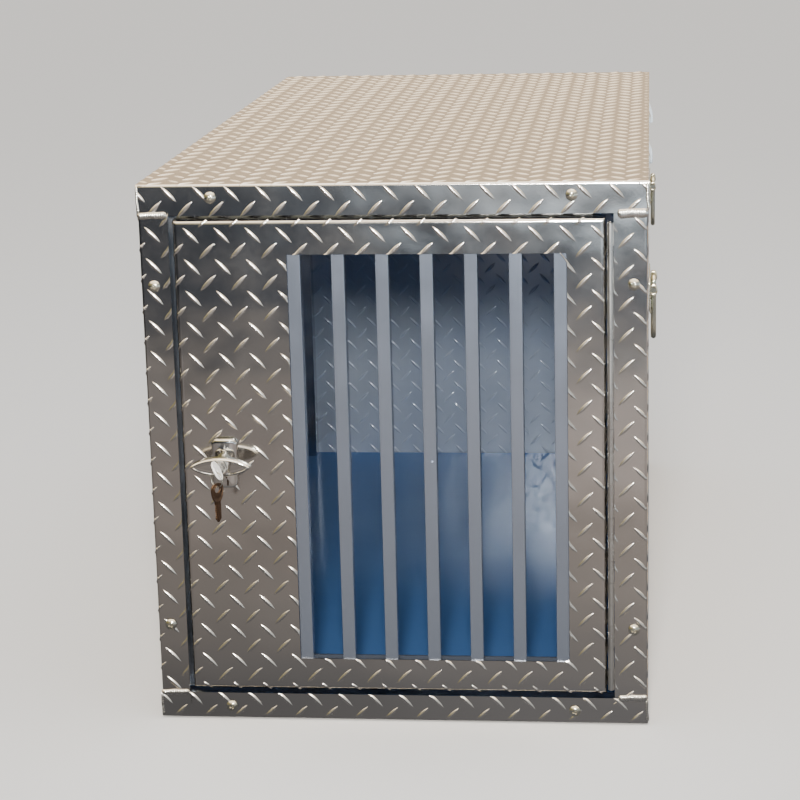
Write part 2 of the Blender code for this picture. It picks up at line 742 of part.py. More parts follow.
def make_door(looks, door):
    """The folded door skin, its window and the bars behind it."""
    skin = add(
        "door_skin",
        pan_mesh(
            "door_skin",
            (DOOR_LEFT, FRONT, DOOR_BOTTOM),
            (DOOR_RIGHT, DOOR_BACK, DOOR_TOP),
            DOOR_RADIUS,
            3,
        ),
        looks["tread"],
        parent=door,
    )
    hollow = cutter(
        "door_hollow",
        pan_mesh(
            "door_hollow",
            (DOOR_LEFT + SHEET, FRONT + SHEET, DOOR_BOTTOM + SHEET),
            (DOOR_RIGHT - SHEET, DOOR_BACK + SHEET, DOOR_TOP - SHEET),
            DOOR_RADIUS - SHEET,
            3,
        ),
    )
    window = cutter(
        "door_window",
        box_mesh(
            "door_window",
            (WINDOW_LEFT, FRONT - SHEET, WINDOW_BOTTOM),
            (WINDOW_RIGHT, FRONT + 2 * SHEET, WINDOW_TOP),
        ),
    )
    latch_hole = cutter(
        "latch_hole",
        prism(
            "latch_hole",
            circle(BOSS_RADIUS + BOSS_CLEARANCE, 20, (LATCH.x, LATCH.z)),
            "Y",
            FRONT - SHEET,
            FRONT + 2 * SHEET,
        ),
    )
    for shape in (hollow, window, latch_hole):
        boolean(skin, shape, "DIFFERENCE")
    half = BAR_WIDTH / 2
    edge = BAR_EDGE
    profile = rounded_rectangle(BAR_WIDTH, BAR_DEPTH, edge, 2)
    low = WINDOW_BOTTOM - BAR_LAP
    high = WINDOW_TOP + BAR_LAP
    for number in range(BARS):
        middle = WINDOW_LEFT + half + number * BAR_PITCH
        name = f"window_bar_{number + 1}"
        bar = add(
            name,
            prism(name, profile, "Z", low, high, smooth=True),
            looks["bar"],
            at=(middle, DOOR_INSIDE + BAR_DEPTH / 2, 0),
            parent=door,
        )
        if number == BAR_WITH_HOLE:
            place = (middle + half / 3, (low + high) / 2)
            ends = (DOOR_INSIDE - SHEET, DOOR_INSIDE + BAR_HOLE_DEPTH)
            hole = prism("bar_hole", circle(BAR_HOLE_RADIUS, 10, place), "Y", *ends)
            boolean(bar, cutter("bar_hole", hole), "DIFFERENCE")
    rail_left = WINDOW_LEFT - SHEET
    rail_right = WINDOW_RIGHT + SHEET
    for name, bottom in (
        ("bar_rail_top", high - BAR_RAIL_HEIGHT + SHEET),
        ("bar_rail_bottom", low - SHEET),
    ):
        add(
            name,
            box_mesh(
                name,
                (rail_left, BAR_BACK + SEAT, bottom),
                (rail_right, BAR_BACK + SEAT + BAR_RAIL_THICK, bottom + BAR_RAIL_HEIGHT),
            ),
            looks["bar"],
            parent=door,
        )
    return skin


def blade_ring(inset, y):
    """The handle blade's outline, pointed like a lens with blunt tips."""
    points = []
    count = 32
    for i in range(count):
        turn = 2 * math.pi * i / count
        swell = math.copysign(abs(math.sin(turn)) ** 1.5, math.sin(turn))
        x = (BLADE_LENGTH / 2 - inset) * math.cos(turn)
        points.append((x, y, (BLADE_HEIGHT / 2 - inset) * swell))
    return points


def key_outline(blade):
    """A flat key about the hole in its bow: the bow's end is at +Y, the tip at -Y."""
    half = KEY_BOW_WIDTH / 2
    end = KEY_HOLE_FROM_END
    start = end - KEY_BOW_LENGTH
    middle = (end + start) / 2
    bow = arc((middle, 0), (KEY_BOW_LENGTH / 2, half), -KEY_BOW_SWEEP, KEY_BOW_SWEEP, 18)
    neck = KEY_BLADE_WIDTH / 2
    tip = start - blade
    slope = tip + neck * 0.7
    return bow + [(start, neck), (slope, neck), (tip, 0.0), (slope, -neck), (start, -neck)]


def key_mesh(name, axis_order, blade):
    """The key's outline through its thickness. The order says which way its length runs."""
    outline = [axis_order(along, across) for along, across in key_outline(blade)]
    half = KEY_THICK / 2
    return prism(name, outline, "X", -half, half)


def make_latch(looks, door, handle, lock, ring_axis, spare_axis):
    """The key-locking T handle, with its base, shaft, cam and keys."""
    at = LATCH
    chrome = looks["chrome"]
    steel = looks["steel"]
    # Each ring of the base is drawn in by a share of its rounded edge, and set back by another.
    base_rings = []
    for drawn_in, set_back in ((1.0, 0.0), (0.3, 0.3), (0.0, 1.0)):
        inset = BASE_EDGE * drawn_in
        width = BASE_WIDTH - 2 * inset
        outline = rounded_rectangle(width, BASE_LENGTH - 2 * inset, BASE_CORNER - inset, 6)
        base_rings.append([(a, BASE_FRONT + BASE_EDGE * set_back - FRONT, b) for a, b in outline])
    base_rings.append([(a, -SEAT, b) for a, y, b in base_rings[-1]])
    base_shape = lofted("latch_base", base_rings, smooth=True)
    base = add("latch_base", base_shape, chrome, at=at, parent=door)
    boss_end = DOOR_INSIDE + NUT_THICK + SHEET
    boss = cutter(
        "latch_boss",
        prism("latch_boss", circle(BOSS_RADIUS, 20, (at.x, at.z)), "Y", FRONT - SHEET, boss_end),
    )
    round_way = circle(SHAFT_SIDE / math.sqrt(2) + SHAFT_CLEARANCE, 16, (at.x, at.z))
    way_shape = prism("shaft_way", round_way, "Y", BASE_FRONT - SHEET, boss_end + SHEET)
    way = cutter("shaft_way", way_shape)
    boolean(base, boss, "UNION")
    boolean(base, way, "DIFFERENCE")

    nut_ends = (DOOR_INSIDE - FRONT, DOOR_INSIDE + NUT_THICK - FRONT)
    nut_shape = prism("latch_nut", circle(NUT_ACROSS / math.sqrt(3), 6), "Y", *nut_ends)
    nut = add("latch_nut", nut_shape, steel, at=at, parent=door)
    nut_bore = circle(BOSS_RADIUS + BOSS_CLEARANCE, 20, (at.x, at.z))
    nut_hole = cutter("nut_hole", prism("nut_hole", nut_bore, "Y", FRONT, boss_end + SHEET))
    boolean(nut, nut_hole, "DIFFERENCE")

    rings = [
        blade_ring(BLADE_HEIGHT * 0.22, BLADE_FRONT - FRONT),
        blade_ring(BLADE_HEIGHT * 0.10, BLADE_FRONT - FRONT + 0.7 * MM),
        blade_ring(0.0, BLADE_FRONT - FRONT + 3.2 * MM),
        blade_ring(0.0, BLADE_BACK - FRONT - 2.0 * MM),
        blade_ring(BLADE_HEIGHT * 0.08, BLADE_BACK - FRONT),
    ]
    blade = add("t_handle", lofted("t_handle", rings, smooth=True), chrome, at=at, parent=handle)
    round_hub = circle(HUB_RADIUS, 24, (at.x, at.z))
    hub_shape = prism("handle_hub", round_hub, "Y", BLADE_BACK - BLADE_THICK / 3, HUB_BACK)
    hub = cutter("handle_hub", hub_shape)
    square = circle((SHAFT_SIDE / 2 + SHAFT_CLEARANCE) * math.sqrt(2), 4, (at.x, at.z))
    socket_shape = prism("shaft_socket", square, "Y", HUB_BACK - SHAFT_IN_HUB, HUB_BACK + SHEET)
    socket = cutter("shaft_socket", socket_shape)
    plug_bore = cutter(
        "plug_bore",
        prism(
            "plug_bore",
            circle(PLUG_RADIUS + KEY_CLEARANCE, 20, (at.x, at.z)),
            "Y",
            BLADE_FRONT - SHEET,
            PLUG_BACK + SEAT,
        ),
    )
    boolean(blade, hub, "UNION")
    boolean(blade, socket, "DIFFERENCE")
    boolean(blade, plug_bore, "DIFFERENCE")

    shaft_front = HUB_BACK - SHAFT_IN_HUB + SEAT
    shaft_square = circle(SHAFT_SIDE / math.sqrt(2), 4)
    shaft = prism("latch_shaft", shaft_square, "Y", shaft_front - FRONT, CAM_BACK - FRONT)
    add("latch_shaft", shaft, steel, at=at, parent=handle)
    half = CAM_WIDTH / 2
    cam_shape = arc((0, 0), (half, half), 180, 360, 10)
    tip = [(half * 0.9, CAM_LENGTH - half * 0.6), (half * 0.5, CAM_LENGTH)]
    cam_shape += tip + [(-x, z) for x, z in reversed(tip)]
    cam_plate = prism("latch_cam", cam_shape, "Y", CAM_FRONT - FRONT, CAM_BACK - FRONT)
    cam = add("latch_cam", cam_plate, steel, at=at, parent=handle)
    cam_way = prism("cam_hole", square, "Y", CAM_FRONT - SHEET, CAM_BACK + SHEET)
    cam_hole = cutter("cam_hole", cam_way)
    boolean(cam, cam_hole, "DIFFERENCE")
    cam_rings = []
    for share, rise in ((1.0, 0.0), (1.0, 0.5), (0.85, 0.85), (0.55, 1.0)):
        y = CAM_BACK + SEAT + CAM_SCREW_RISE * rise - FRONT
        cam_rings.append([(a, y, b) for a, b in circle(CAM_SCREW_RADIUS * share, 14)])
    add("cam_screw", lofted("cam_screw", cam_rings, smooth=True), steel, at=at, parent=handle)

    plug_ends = (PLUG_FRONT - FRONT, PLUG_BACK - FRONT)
    plug_shape = prism("lock_plug", circle(PLUG_RADIUS, 20), "Y", *plug_ends, smooth=True)
    plug = add("lock_plug", plug_shape, looks["plug"], at=at, parent=lock)
    slot_half = KEY_THICK / 2 + KEY_CLEARANCE
    slot_reach = KEY_BLADE_WIDTH / 2 + KEY_CLEARANCE
    slot = cutter(
        "key_slot",
        box_mesh(
            "key_slot",
            (-slot_half, PLUG_FRONT - SHEET - FRONT, -slot_reach),
            (slot_half, PLUG_FRONT + KEY_IN_PLUG + KEY_CLEARANCE - FRONT, slot_reach),
        ),
        at,
        (0, KEY_TILT, 0),
    )
    boolean(plug, slot, "DIFFERENCE")

    tilt = (0, KEY_TILT, 0)
    blade_in = KEY_IN_PLUG - KEY_CLEARANCE
    key = add(
        "key",
        key_mesh("key", lambda along, across: (-along, across), blade_in),
        looks["key"],
        KEY_HOLE,
        tilt,
        lock,
    )
    bow_hole = prism("bow_hole", circle(KEY_HOLE_RADIUS, 14), "X", -KEY_THICK, KEY_THICK)
    boolean(key, cutter("key_hole", bow_hole, KEY_HOLE, tilt), "DIFFERENCE")

    turn = (0, 0, RING_TURN)
    curve = bpy.data.curves.new("key_ring", "CURVE")
    curve.dimensions = "3D"
    curve.bevel_depth = RING_WIRE
    curve.bevel_resolution = 1
    spline = curve.splines.new("POLY")
    count = 24
    spline.points.add(count - 1)
    for i, point in enumerate(spline.points):
        angle = 2 * math.pi * i / count
        point.co = (RING_RADIUS * math.cos(angle), 0, RING_RADIUS * math.sin(angle), 1)
    spline.use_cyclic_u = True
    add("key_ring", curve, looks["steel"], RING_MIDDLE, turn, ring_axis)

    spare = add(
        "spare_key",
        key_mesh("spare_key", lambda along, across: (across, along), KEY_BLADE_LENGTH - SHEET),
        looks["brass"],
        SPARE_HOLE,
        turn,
        spare_axis,
    )
    boolean(spare, cutter("spare_hole", bow_hole, SPARE_HOLE, turn), "DIFFERENCE")


def bail_points():
    """Half of the rod's middle line in (y, z), from the end in an ear to the grip's middle."""
    end = EAR_SPACING / 2 + EAR_THICK / 2 - KNUCKLE_GAP
    leg = EAR_SPACING / 2 - EAR_THICK / 2 - BAIL_LEG_INSET
    points = [(end, 0.0), (leg + BAIL_BEND + SEAT, 0.0)]
    points += arc((leg + BAIL_BEND, -BAIL_BEND), (BAIL_BEND, BAIL_BEND), 90, 180, 4)
    points += [(leg, -BAIL_BEND - (BAIL_DROP - BAIL_BEND - BAIL_CORNER) / 2)]
    corner = (leg - BAIL_CORNER, BAIL_CORNER - BAIL_DROP)
    points += arc(corner, (BAIL_CORNER, BAIL_CORNER), 360, 270, 5)
    return points


def make_handle(looks, name, outward, middle_y):
    """A drop handle on a side wall: a pressed plate with two ears, and its bail."""
    wall = outward * WIDTH / 2
    pivot_height = HEIGHT - HANDLE_FROM_TOP - PIVOT_FROM_PLATE_TOP
    pivot = Vector((wall + outward * PIVOT_PROUD, middle_y, pivot_height))

    def out(distance):
        return wall + outward * distance - pivot.x

    plate_middle = PIVOT_FROM_PLATE_TOP - PLATE_HEIGHT / 2
    outline = [
        (y, z + plate_middle)
        for y, z in rounded_rectangle(PLATE_LENGTH, PLATE_HEIGHT, PLATE_CORNER, 4)
    ]
    plate = add(
        f"handle_plate_{name}",
        prism(f"handle_plate_{name}", outline, "X", out(SEAT), out(SEAT + PLATE_THICK)),
        looks["cast"],
        at=pivot,
    )
    nose = PIVOT_PROUD + EAR_HOLE_RADIUS + EAR_WALL
    shoulder = nose - EAR_HALF_HEIGHT
    profile = arc((shoulder, 0), (nose - shoulder, EAR_HALF_HEIGHT), -90, 90, 8)
    profile = [(SEAT + PLATE_THICK / 2, -EAR_HALF_HEIGHT)] + profile
    profile += [(SEAT + PLATE_THICK / 2, EAR_HALF_HEIGHT)]
    ear_outline = [(out(distance), z) for distance, z in profile]
    for side, sign in (("a", -1), ("b", 1)):
        centre = sign * EAR_SPACING / 2
        ear = cutter(
            f"{plate.name}_ear_{side}",
            prism("ear", ear_outline, "Y", centre - EAR_THICK / 2, centre + EAR_THICK / 2),
            pivot,
        )
        boolean(plate, ear, "UNION")
    bore = cutter(
        f"{plate.name}_bore",
        prism("ear_bore", circle(EAR_HOLE_RADIUS, 14), "Y", -PLATE_LENGTH / 2, PLATE_LENGTH / 2),
        pivot,
    )
    boolean(plate, bore, "DIFFERENCE")

    half = bail_points()
    line = half + [(-y, z) for y, z in reversed(half)]
    curve = bpy.data.curves.new(f"bail_{name}", "CURVE")
    curve.dimensions = "3D"
    curve.bevel_depth = ROD_RADIUS
    curve.bevel_resolution = 2
    curve.use_fill_caps = True
    spline = curve.splines.new("POLY")
    spline.points.add(len(line) - 1)
    for point, (y, z) in zip(spline.points, line):
        point.co = (0, y, z, 1)
    spline.use_smooth = True
    add(f"bail_{name}", curve, looks["rod"], at=pivot)


def main():
    clear_scene()
    looks = make_looks()
    top, floor, sides = make_sheets(looks)
    frame = make_frame(looks)
    make_screws(looks, top, floor, sides, frame)
    make_welds(looks)
    door = empty("door_axis", (HINGE_X, HINGE_Y, 0))
    make_hinge(looks, door)
    make_door(looks, door)
    handle = empty("handle_axis", LATCH)
    lock = empty("lock_axis", LATCH)
    ring_axis = empty("ring_axis", KEY_HOLE)
    spare_axis = empty("spare_axis", RING_BOTTOM)
    make_latch(looks, door, handle, lock, ring_axis, spare_axis)
    for end, y in (("front", FRONT + HANDLE_FROM_END), ("rear", REAR - HANDLE_FROM_END)):
        for side, outward in (("left", -1), ("right", 1)):
            make_handle(looks, f"{end}_{side}", outward, y)


main()
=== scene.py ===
import math

import bmesh
import bpy
import numpy as np
from mathutils import Matrix, Vector


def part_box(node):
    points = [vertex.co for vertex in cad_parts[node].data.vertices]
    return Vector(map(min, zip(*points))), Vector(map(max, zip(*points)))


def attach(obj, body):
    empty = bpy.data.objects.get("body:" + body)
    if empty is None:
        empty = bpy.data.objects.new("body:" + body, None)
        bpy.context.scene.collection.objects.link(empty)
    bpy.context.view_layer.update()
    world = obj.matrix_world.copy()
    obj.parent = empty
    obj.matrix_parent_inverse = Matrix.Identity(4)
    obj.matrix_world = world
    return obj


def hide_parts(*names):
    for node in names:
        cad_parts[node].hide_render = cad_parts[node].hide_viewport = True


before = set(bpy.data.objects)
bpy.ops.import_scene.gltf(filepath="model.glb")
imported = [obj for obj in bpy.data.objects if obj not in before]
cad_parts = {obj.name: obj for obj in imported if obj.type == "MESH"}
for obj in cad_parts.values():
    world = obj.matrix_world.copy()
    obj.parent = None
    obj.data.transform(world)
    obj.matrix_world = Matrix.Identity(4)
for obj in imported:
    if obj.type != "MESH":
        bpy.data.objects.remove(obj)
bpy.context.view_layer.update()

MM = 0.001

# The box over its sheets.
HALF_WIDTH = 279.5
HALF_DEPTH = 559.0
HEIGHT = 622.0

# Tread plate: its gauge, how far a lug stands, the folds' radius, and the grid of lugs.
GAUGE = 1.6
CREST = 1.2
FOLD = 3.0
DOOR_FOLD = 4.8
LUG_LENGTH = 25.4
LUG_WIDTH = 5.2
LUG_PITCH = (34.4, 34.9)
DOOR_LUG_PITCH = (34.4, 35.2)

# Heights where the rails folded from the floor and the top end, their gap to the sides, and
# how wide the rear stiles are.
FLOOR_FRONT_EDGE, TOP_FRONT_EDGE = 31.5, 586.0
FLOOR_REAR_EDGE, TOP_REAR_EDGE = 34.0, 588.0
RAIL_GAP = 0.3
REAR_STILE = 34.0

# Louvres: their middle from the rear and below the top, and the vent that each one covers.
LOUVRE_FROM_REAR = 224
LOUVRE_DROPS = (36, 94)
VENT_REACH, VENT_BELOW, VENT_ABOVE = 48.4, 9.7, 6.8

WINDOW_SILL, WINDOW_HEAD = 74.5, 542.5
HEAD_RADIUS = 6.5
ROD_RADIUS = 3.1
BOW_LENGTH, BOW_HOLE = 23.0, 7.0


def extent(node):
    """Lowest and highest corner of a CAD node, in millimetres."""
    return [np.array(corner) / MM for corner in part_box(node)]


# Pieces

def piece(name, points, faces, look, body, nodes=(), crest=None, sharp=35):
    """A closed mesh from an (n, 3) array of points and a list of index arrays.

    crest is a value for each point: 0 on a plate's flats and 1 on its lugs.
    """
    mesh = bpy.data.meshes.new(name)
    rows = [row for group in faces for row in np.asarray(group).tolist()]
    mesh.from_pydata((np.asarray(points, float) * MM).tolist(), [], rows)
    if crest is not None:
        layer = mesh.attributes.new("crest", "FLOAT", "POINT")
        layer.data.foreach_set("value", np.asarray(crest, np.float32))
    bm = bmesh.new()
    bm.from_mesh(mesh)
    bmesh.ops.recalc_face_normals(bm, faces=bm.faces)
    bm.to_mesh(mesh)
    bm.free()
    mesh.shade_smooth()
    mesh.set_sharp_from_angle(angle=math.radians(sharp))
    mesh.materials.append(look)
    made = bpy.data.objects.new(name, mesh)
    bpy.context.scene.collection.objects.link(made)
    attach(made, body)
    if nodes:
        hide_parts(*nodes)
    return made


def joined(*shapes):
    """Several (points, faces) shapes as one, with the indices of each moved on."""
    points, faces, start = [], [], 0
    for shape_points, shape_faces in shapes:
        points.append(np.asarray(shape_points, float))
        faces += [np.asarray(group) + start for group in shape_faces]
        start += len(shape_points)
    return np.concatenate(points), faces


def in_box(s, t, box):
    """Which points lie inside a box, given as its low s, high s, low t and high t."""
    return (s > box[0]) & (s < box[1]) & (t > box[2]) & (t < box[3])


def cell_corners(index):
    """The four point numbers round each cell of a grid of point numbers."""
    return np.stack([index[:-1, :-1], index[1:, :-1], index[1:, 1:], index[:-1, 1:]], -1)


def skin(rings, closed=False):
    """Faces over an array of rings, (rings, points, 3), each joined to the next.

    Quad k of ring i joins points k and k + 1 of rings i and i + 1. closed joins the last
    ring to the first; otherwise one polygon closes each end.
    """
    rings = np.asarray(rings, float)
    count, sides = rings.shape[:2]
    index = np.arange(count * sides).reshape(count, sides)
    following = np.roll(index, -1, axis=0)
    if not closed:
        index, following = index[:-1], following[:-1]
    quads = np.stack(
        [index, np.roll(index, -1, 1), np.roll(following, -1, 1), following], axis=-1
    ).reshape(-1, 4)
    faces = [quads]
    if not closed:
        faces += [np.arange(sides)[None], np.arange(sides)[None] + (count - 1) * sides]
    return rings.reshape(-1, 3), faces


def turned(profile, sides, centre, axis=1):
    """A turned shape: profile rows (radius, distance along the axis) carried round a circle."""
    profile = np.asarray(profile, float)
    angle = 2 * np.pi * np.arange(sides) / sides
    across = [i for i in range(3) if i != axis]
    rings = np.zeros((len(profile), sides, 3))
    rings[..., across[0]] = profile[:, :1] * np.cos(angle)
    rings[..., across[1]] = profile[:, :1] * np.sin(angle)
    rings[..., axis] = profile[:, 1:]
    return skin(rings + np.asarray(centre, float))


def tube(path, radius, normal, sides):
    """A round rod or wire along an open path: each point's ring stands square to the path.

    The ring's two directions are the path's tangent crossed with a normal that the path
    never follows, and the tangent crossed with that, worked out for all points at once.
    """
    tangent = np.gradient(path, axis=0)
    tangent /= np.linalg.norm(tangent, axis=1, keepdims=True)
    side = np.cross(tangent, normal)
    side /= np.linalg.norm(side, axis=1, keepdims=True)
    up = np.cross(tangent, side)
    angle = 2 * np.pi * np.arange(sides) / sides
    rings = path[:, None] + radius * (
        np.cos(angle)[None, :, None] * side[:, None] + np.sin(angle)[None, :, None] * up[:, None]
    )
    return skin(rings)


def arc(centre, radius, start, end, steps):
    """Points (steps + 1, 2) of a circle's arc between two angles in degrees."""
    turn = np.radians(np.linspace(start, end, steps + 1))
    return np.stack([centre[0] + radius * np.cos(turn), centre[1] + radius * np.sin(turn)], 1)


def rounded(width, height, radius, steps):
    """Outline of a rectangle with rounded corners, about its own middle."""
    corners = ((1, 1, 0), (-1, 1, 90), (-1, -1, 180), (1, -1, 270))
    return np.concatenate([
        arc((a * (width / 2 - radius), b * (height / 2 - radius)), radius, start, start + 90, steps)
        for a, b, start in corners
    ])


# Folded plates

def folded(along, near, far, radius, rise):
    """Place on a sheet that is folded back at both ends, from the distance along it.

    Between near + radius and far - radius the sheet is flat. Past that it turns a quarter
    circle of the fold's radius, then runs straight back. Returns the position across the
    flat and the depth behind its face, both for a point that stands rise above the metal.
    """
    past = np.maximum(near + radius - along, along - (far - radius))
    side = np.where(along < (near + far) / 2, -1.0, 1.0)
    turn = np.clip(past / radius, 0, math.pi / 2)
    straight = np.maximum(past - radius * math.pi / 2, 0)
    corner = np.where(side < 0, near + radius, far - radius)
    position = np.where(past > 0, corner + side * (radius + rise) * np.sin(turn), along)
    depth = np.where(past > 0, radius - (radius + rise) * np.cos(turn) + straight, -rise)
    return position, depth


def unrolled(lip, near, far, radius, high):
    """Distance along the sheet of a point on a folded-back lip, lip behind the face."""
    run = radius * math.pi / 2 + lip - radius
    return far - radius + run if high else near + radius - run


def fold_lines(start, end, near, far, radius):
    """Lines along the sheet from end to end, close together round both folds."""
    quarter = radius * math.pi / 2
    bend = np.linspace(0, quarter, 9)
    support = np.array([-0.5, quarter + 0.5])
    steps = np.concatenate([bend, support])
    lines = np.concatenate([[start, end], near + radius - steps, far - radius + steps])
    lines = lines[(lines >= start) & (lines <= end)]
    return np.unique(np.round(lines, 5))


def plate(s, t, present, place):
    """A sheet of one gauge over a grid of lines, with the cells that are cut out left out.

    Each cell that is present has an outer and an inner face, and each edge between a cell
    that is present and one that isn't has a wall through the gauge. place gives the point
    at s along the sheet, t across it and a rise above the metal.
    """
    grid = np.meshgrid(s, t, indexing="ij")
    outer, inner = (place(*grid, rise).reshape(-1, 3) for rise in (0.0, -GAUGE))
    count = len(outer)
    index = np.arange(count).reshape(grid[0].shape)
    metal_cells = cell_corners(index)[present]
    padded = np.pad(present, 1)
    faces = [metal_cells, metal_cells[:, ::-1] + count]
    edges = (
        (padded[:-1, 1:-1] != padded[1:, 1:-1], index[:, :-1], index[:, 1:]),
        (padded[1:-1, :-1] != padded[1:-1, 1:], index[:-1, :], index[1:, :]),
    )
    for cut, a, b in edges:
        faces.append(np.stack([a[cut], b[cut], b[cut] + count, a[cut] + count], -1))
    used = np.unique(np.concatenate([group.ravel() for group in faces]))
    renamed = np.zeros(2 * count, int)
    renamed[used] = np.arange(len(used))
    return np.concatenate([outer, inner])[used], [renamed[group] for group in faces]


def lug():
    """One raised lug: a blunt lens in plan, pointed at both ends, and round across.

    Half width is W/2 (1 - |u|^2.6) and height is H (1 - u^2)^0.75 (1 - |v|^1.7), for u along
    the lug and v across it, each from -1 to 1. The rim is sunk a little into the plate.
    """
    u = np.array([-0.86, -0.48, 0.0, 0.48, 0.86])
    v = np.array([-1.0, -0.7, -0.32, 0.0, 0.32, 0.7, 1.0])
    U, V = np.meshgrid(u, v, indexing="ij")
    sunk = 0.15
    body = np.stack([
        U * LUG_LENGTH / 2,
        V * LUG_WIDTH / 2 * (1 - np.abs(U) ** 2.6),
        (CREST + sunk) * (1 - U**2) ** 0.75 * (1 - np.abs(V) ** 1.7) - sunk,
    ], -1).reshape(-1, 3)
    tips = np.array([[-LUG_LENGTH / 2, 0, -sunk], [LUG_LENGTH / 2, 0, -sunk]])
    index = np.arange(U.size).reshape(U.shape)
    first, last = U.size, U.size + 1
    ends = np.concatenate([
        np.stack([np.full(len(v) - 1, first), index[0, :-1], index[0, 1:]], -1),
        np.stack([np.full(len(v) - 1, last), index[-1, 1:], index[-1, :-1]], -1),
    ])
    under = np.concatenate([[first], index[:, 0], [last], index[::-1, -1]])[None]
    return np.concatenate([body, tips]), [cell_corners(index).reshape(-1, 4), ends, under]


def lugs(place, s_span, t_span, pitch, first, slant, holes=(), clear=()):
    """Raised lugs over a sheet, in two grids that slant opposite ways.

    The first grid starts at first and slants by slant times 45 degrees; the second lies
    half a pitch further both ways. A lug that crosses the sheet's edge, or the edge of a
    hole, is cut there. Lugs with their middle in a clear box are left out.
    """
    shape, faces = lug()
    fields = []
    for shift, lean in ((0.0, slant), (0.5, -slant)):
        counts = [
            np.arange(math.floor((low - start) / step) - 1, math.ceil((high - start) / step) + 2)
            for (low, high), start, step in zip((s_span, t_span), first, pitch)
        ]
        S, T = np.meshgrid(*[f + (c + shift) * p for f, c, p in zip(first, counts, pitch)])
        centre = np.stack([S.ravel(), T.ravel()], -1)
        along = np.array([1.0, lean]) / math.sqrt(2)
        across = np.array([-along[1], along[0]])
        flat = centre[:, None] + shape[None, :, :1] * along + shape[None, :, 1:2] * across
        inside = np.ones(len(centre), bool)
        reach = LUG_LENGTH * 0.33
        for axis, (low, high) in enumerate((s_span, t_span)):
            inside &= (centre[:, axis] > low - reach) & (centre[:, axis] < high + reach)
            flat[..., axis] = np.clip(flat[..., axis], low, high)
        for box in clear:
            inside &= ~in_box(centre[:, 0], centre[:, 1], box)
        for box in holes:
            s, t = flat[..., 0], flat[..., 1]
            within = in_box(s, t, box)
            nearest = np.stack([s - box[0], box[1] - s, t - box[2], box[3] - t]).argmin(0)
            for number, edge in enumerate(box):
                flat[..., number // 2][within & (nearest == number)] = edge
            inside &= ~within.all(1)
        fields.append(flat[inside])
    flat = np.concatenate(fields)
    rise = np.broadcast_to(shape[:, 2], flat.shape[:2])
    points = place(flat[..., 0], flat[..., 1], rise).reshape(-1, 3)
    starts = np.arange(len(flat))[:, None, None] * len(shape)
    groups = [(group[None] + starts).reshape(-1, group.shape[1]) for group in faces]
    return points, groups


def tread_piece(name, base, raised, looks, body, node):
    """A plate and its lugs as one piece; the plate's inner side has the second look."""
    points, faces = joined(base, raised)
    crest = np.concatenate([np.zeros(len(base[0])), np.ones(len(raised[0]))])
    made = piece(name, points, faces, looks[0], body, [node], crest)
    made.data.materials.append(looks[1])
    side = np.zeros(len(made.data.polygons), np.int32)
    side[len(faces[0]):2 * len(faces[0])] = 1
    made.data.polygons.foreach_set("material_index", side)


def cells(s, t, cuts):
    """Which cells of a grid of lines hold metal, with the cut boxes left out."""
    middle_s = (s[:-1] + s[1:])[:, None] / 2
    middle_t = (t[:-1] + t[1:])[None] / 2
    present = np.ones((len(s) - 1, len(t) - 1), bool)
    for box in cuts:
        present &= ~in_box(middle_s, middle_t, box)
    return present


def lines(*values):
    """All the given lines of a grid in order, each of them once."""
    return np.unique(np.round(np.concatenate([np.atleast_1d(v) for v in values]), 5))


def make_top_and_floor(look):
    """The two plates folded down or up over the front and the rear."""
    for name, node, up, front_edge, rear_edge, lug_height, lug_x in (
        ("plate_top", "top_sheet", 1, TOP_FRONT_EDGE, TOP_REAR_EDGE, 610.3, -243.3),
        ("plate_floor", "floor_sheet", -1, FLOOR_FRONT_EDGE, FLOOR_REAR_EDGE, 25.2, -205.4),
    ):
        lo, hi = extent(node)
        near, far = lo[1] + CREST, hi[1] - CREST
        face = hi[2] - CREST if up > 0 else lo[2] + CREST

        def place(s, t, rise, near=near, far=far, face=face, up=up):
            y, depth = folded(s, near, far, FOLD, rise)
            return np.stack([t, y, face - up * depth], -1)

        start = unrolled(abs(face - front_edge), near, far, FOLD, False)
        end = unrolled(abs(face - rear_edge), near, far, FOLD, True)
        s = fold_lines(start, end, near, far, FOLD)
        t = lines(lo[0], hi[0])
        first = (unrolled(abs(face - lug_height), near, far, FOLD, False), lug_x)
        base = plate(s, t, cells(s, t, ()), place)
        raised = lugs(place, (start, end), (lo[0], hi[0]), LUG_PITCH, first, -up)
        tread_piece(name, base, raised, look, "body", node)


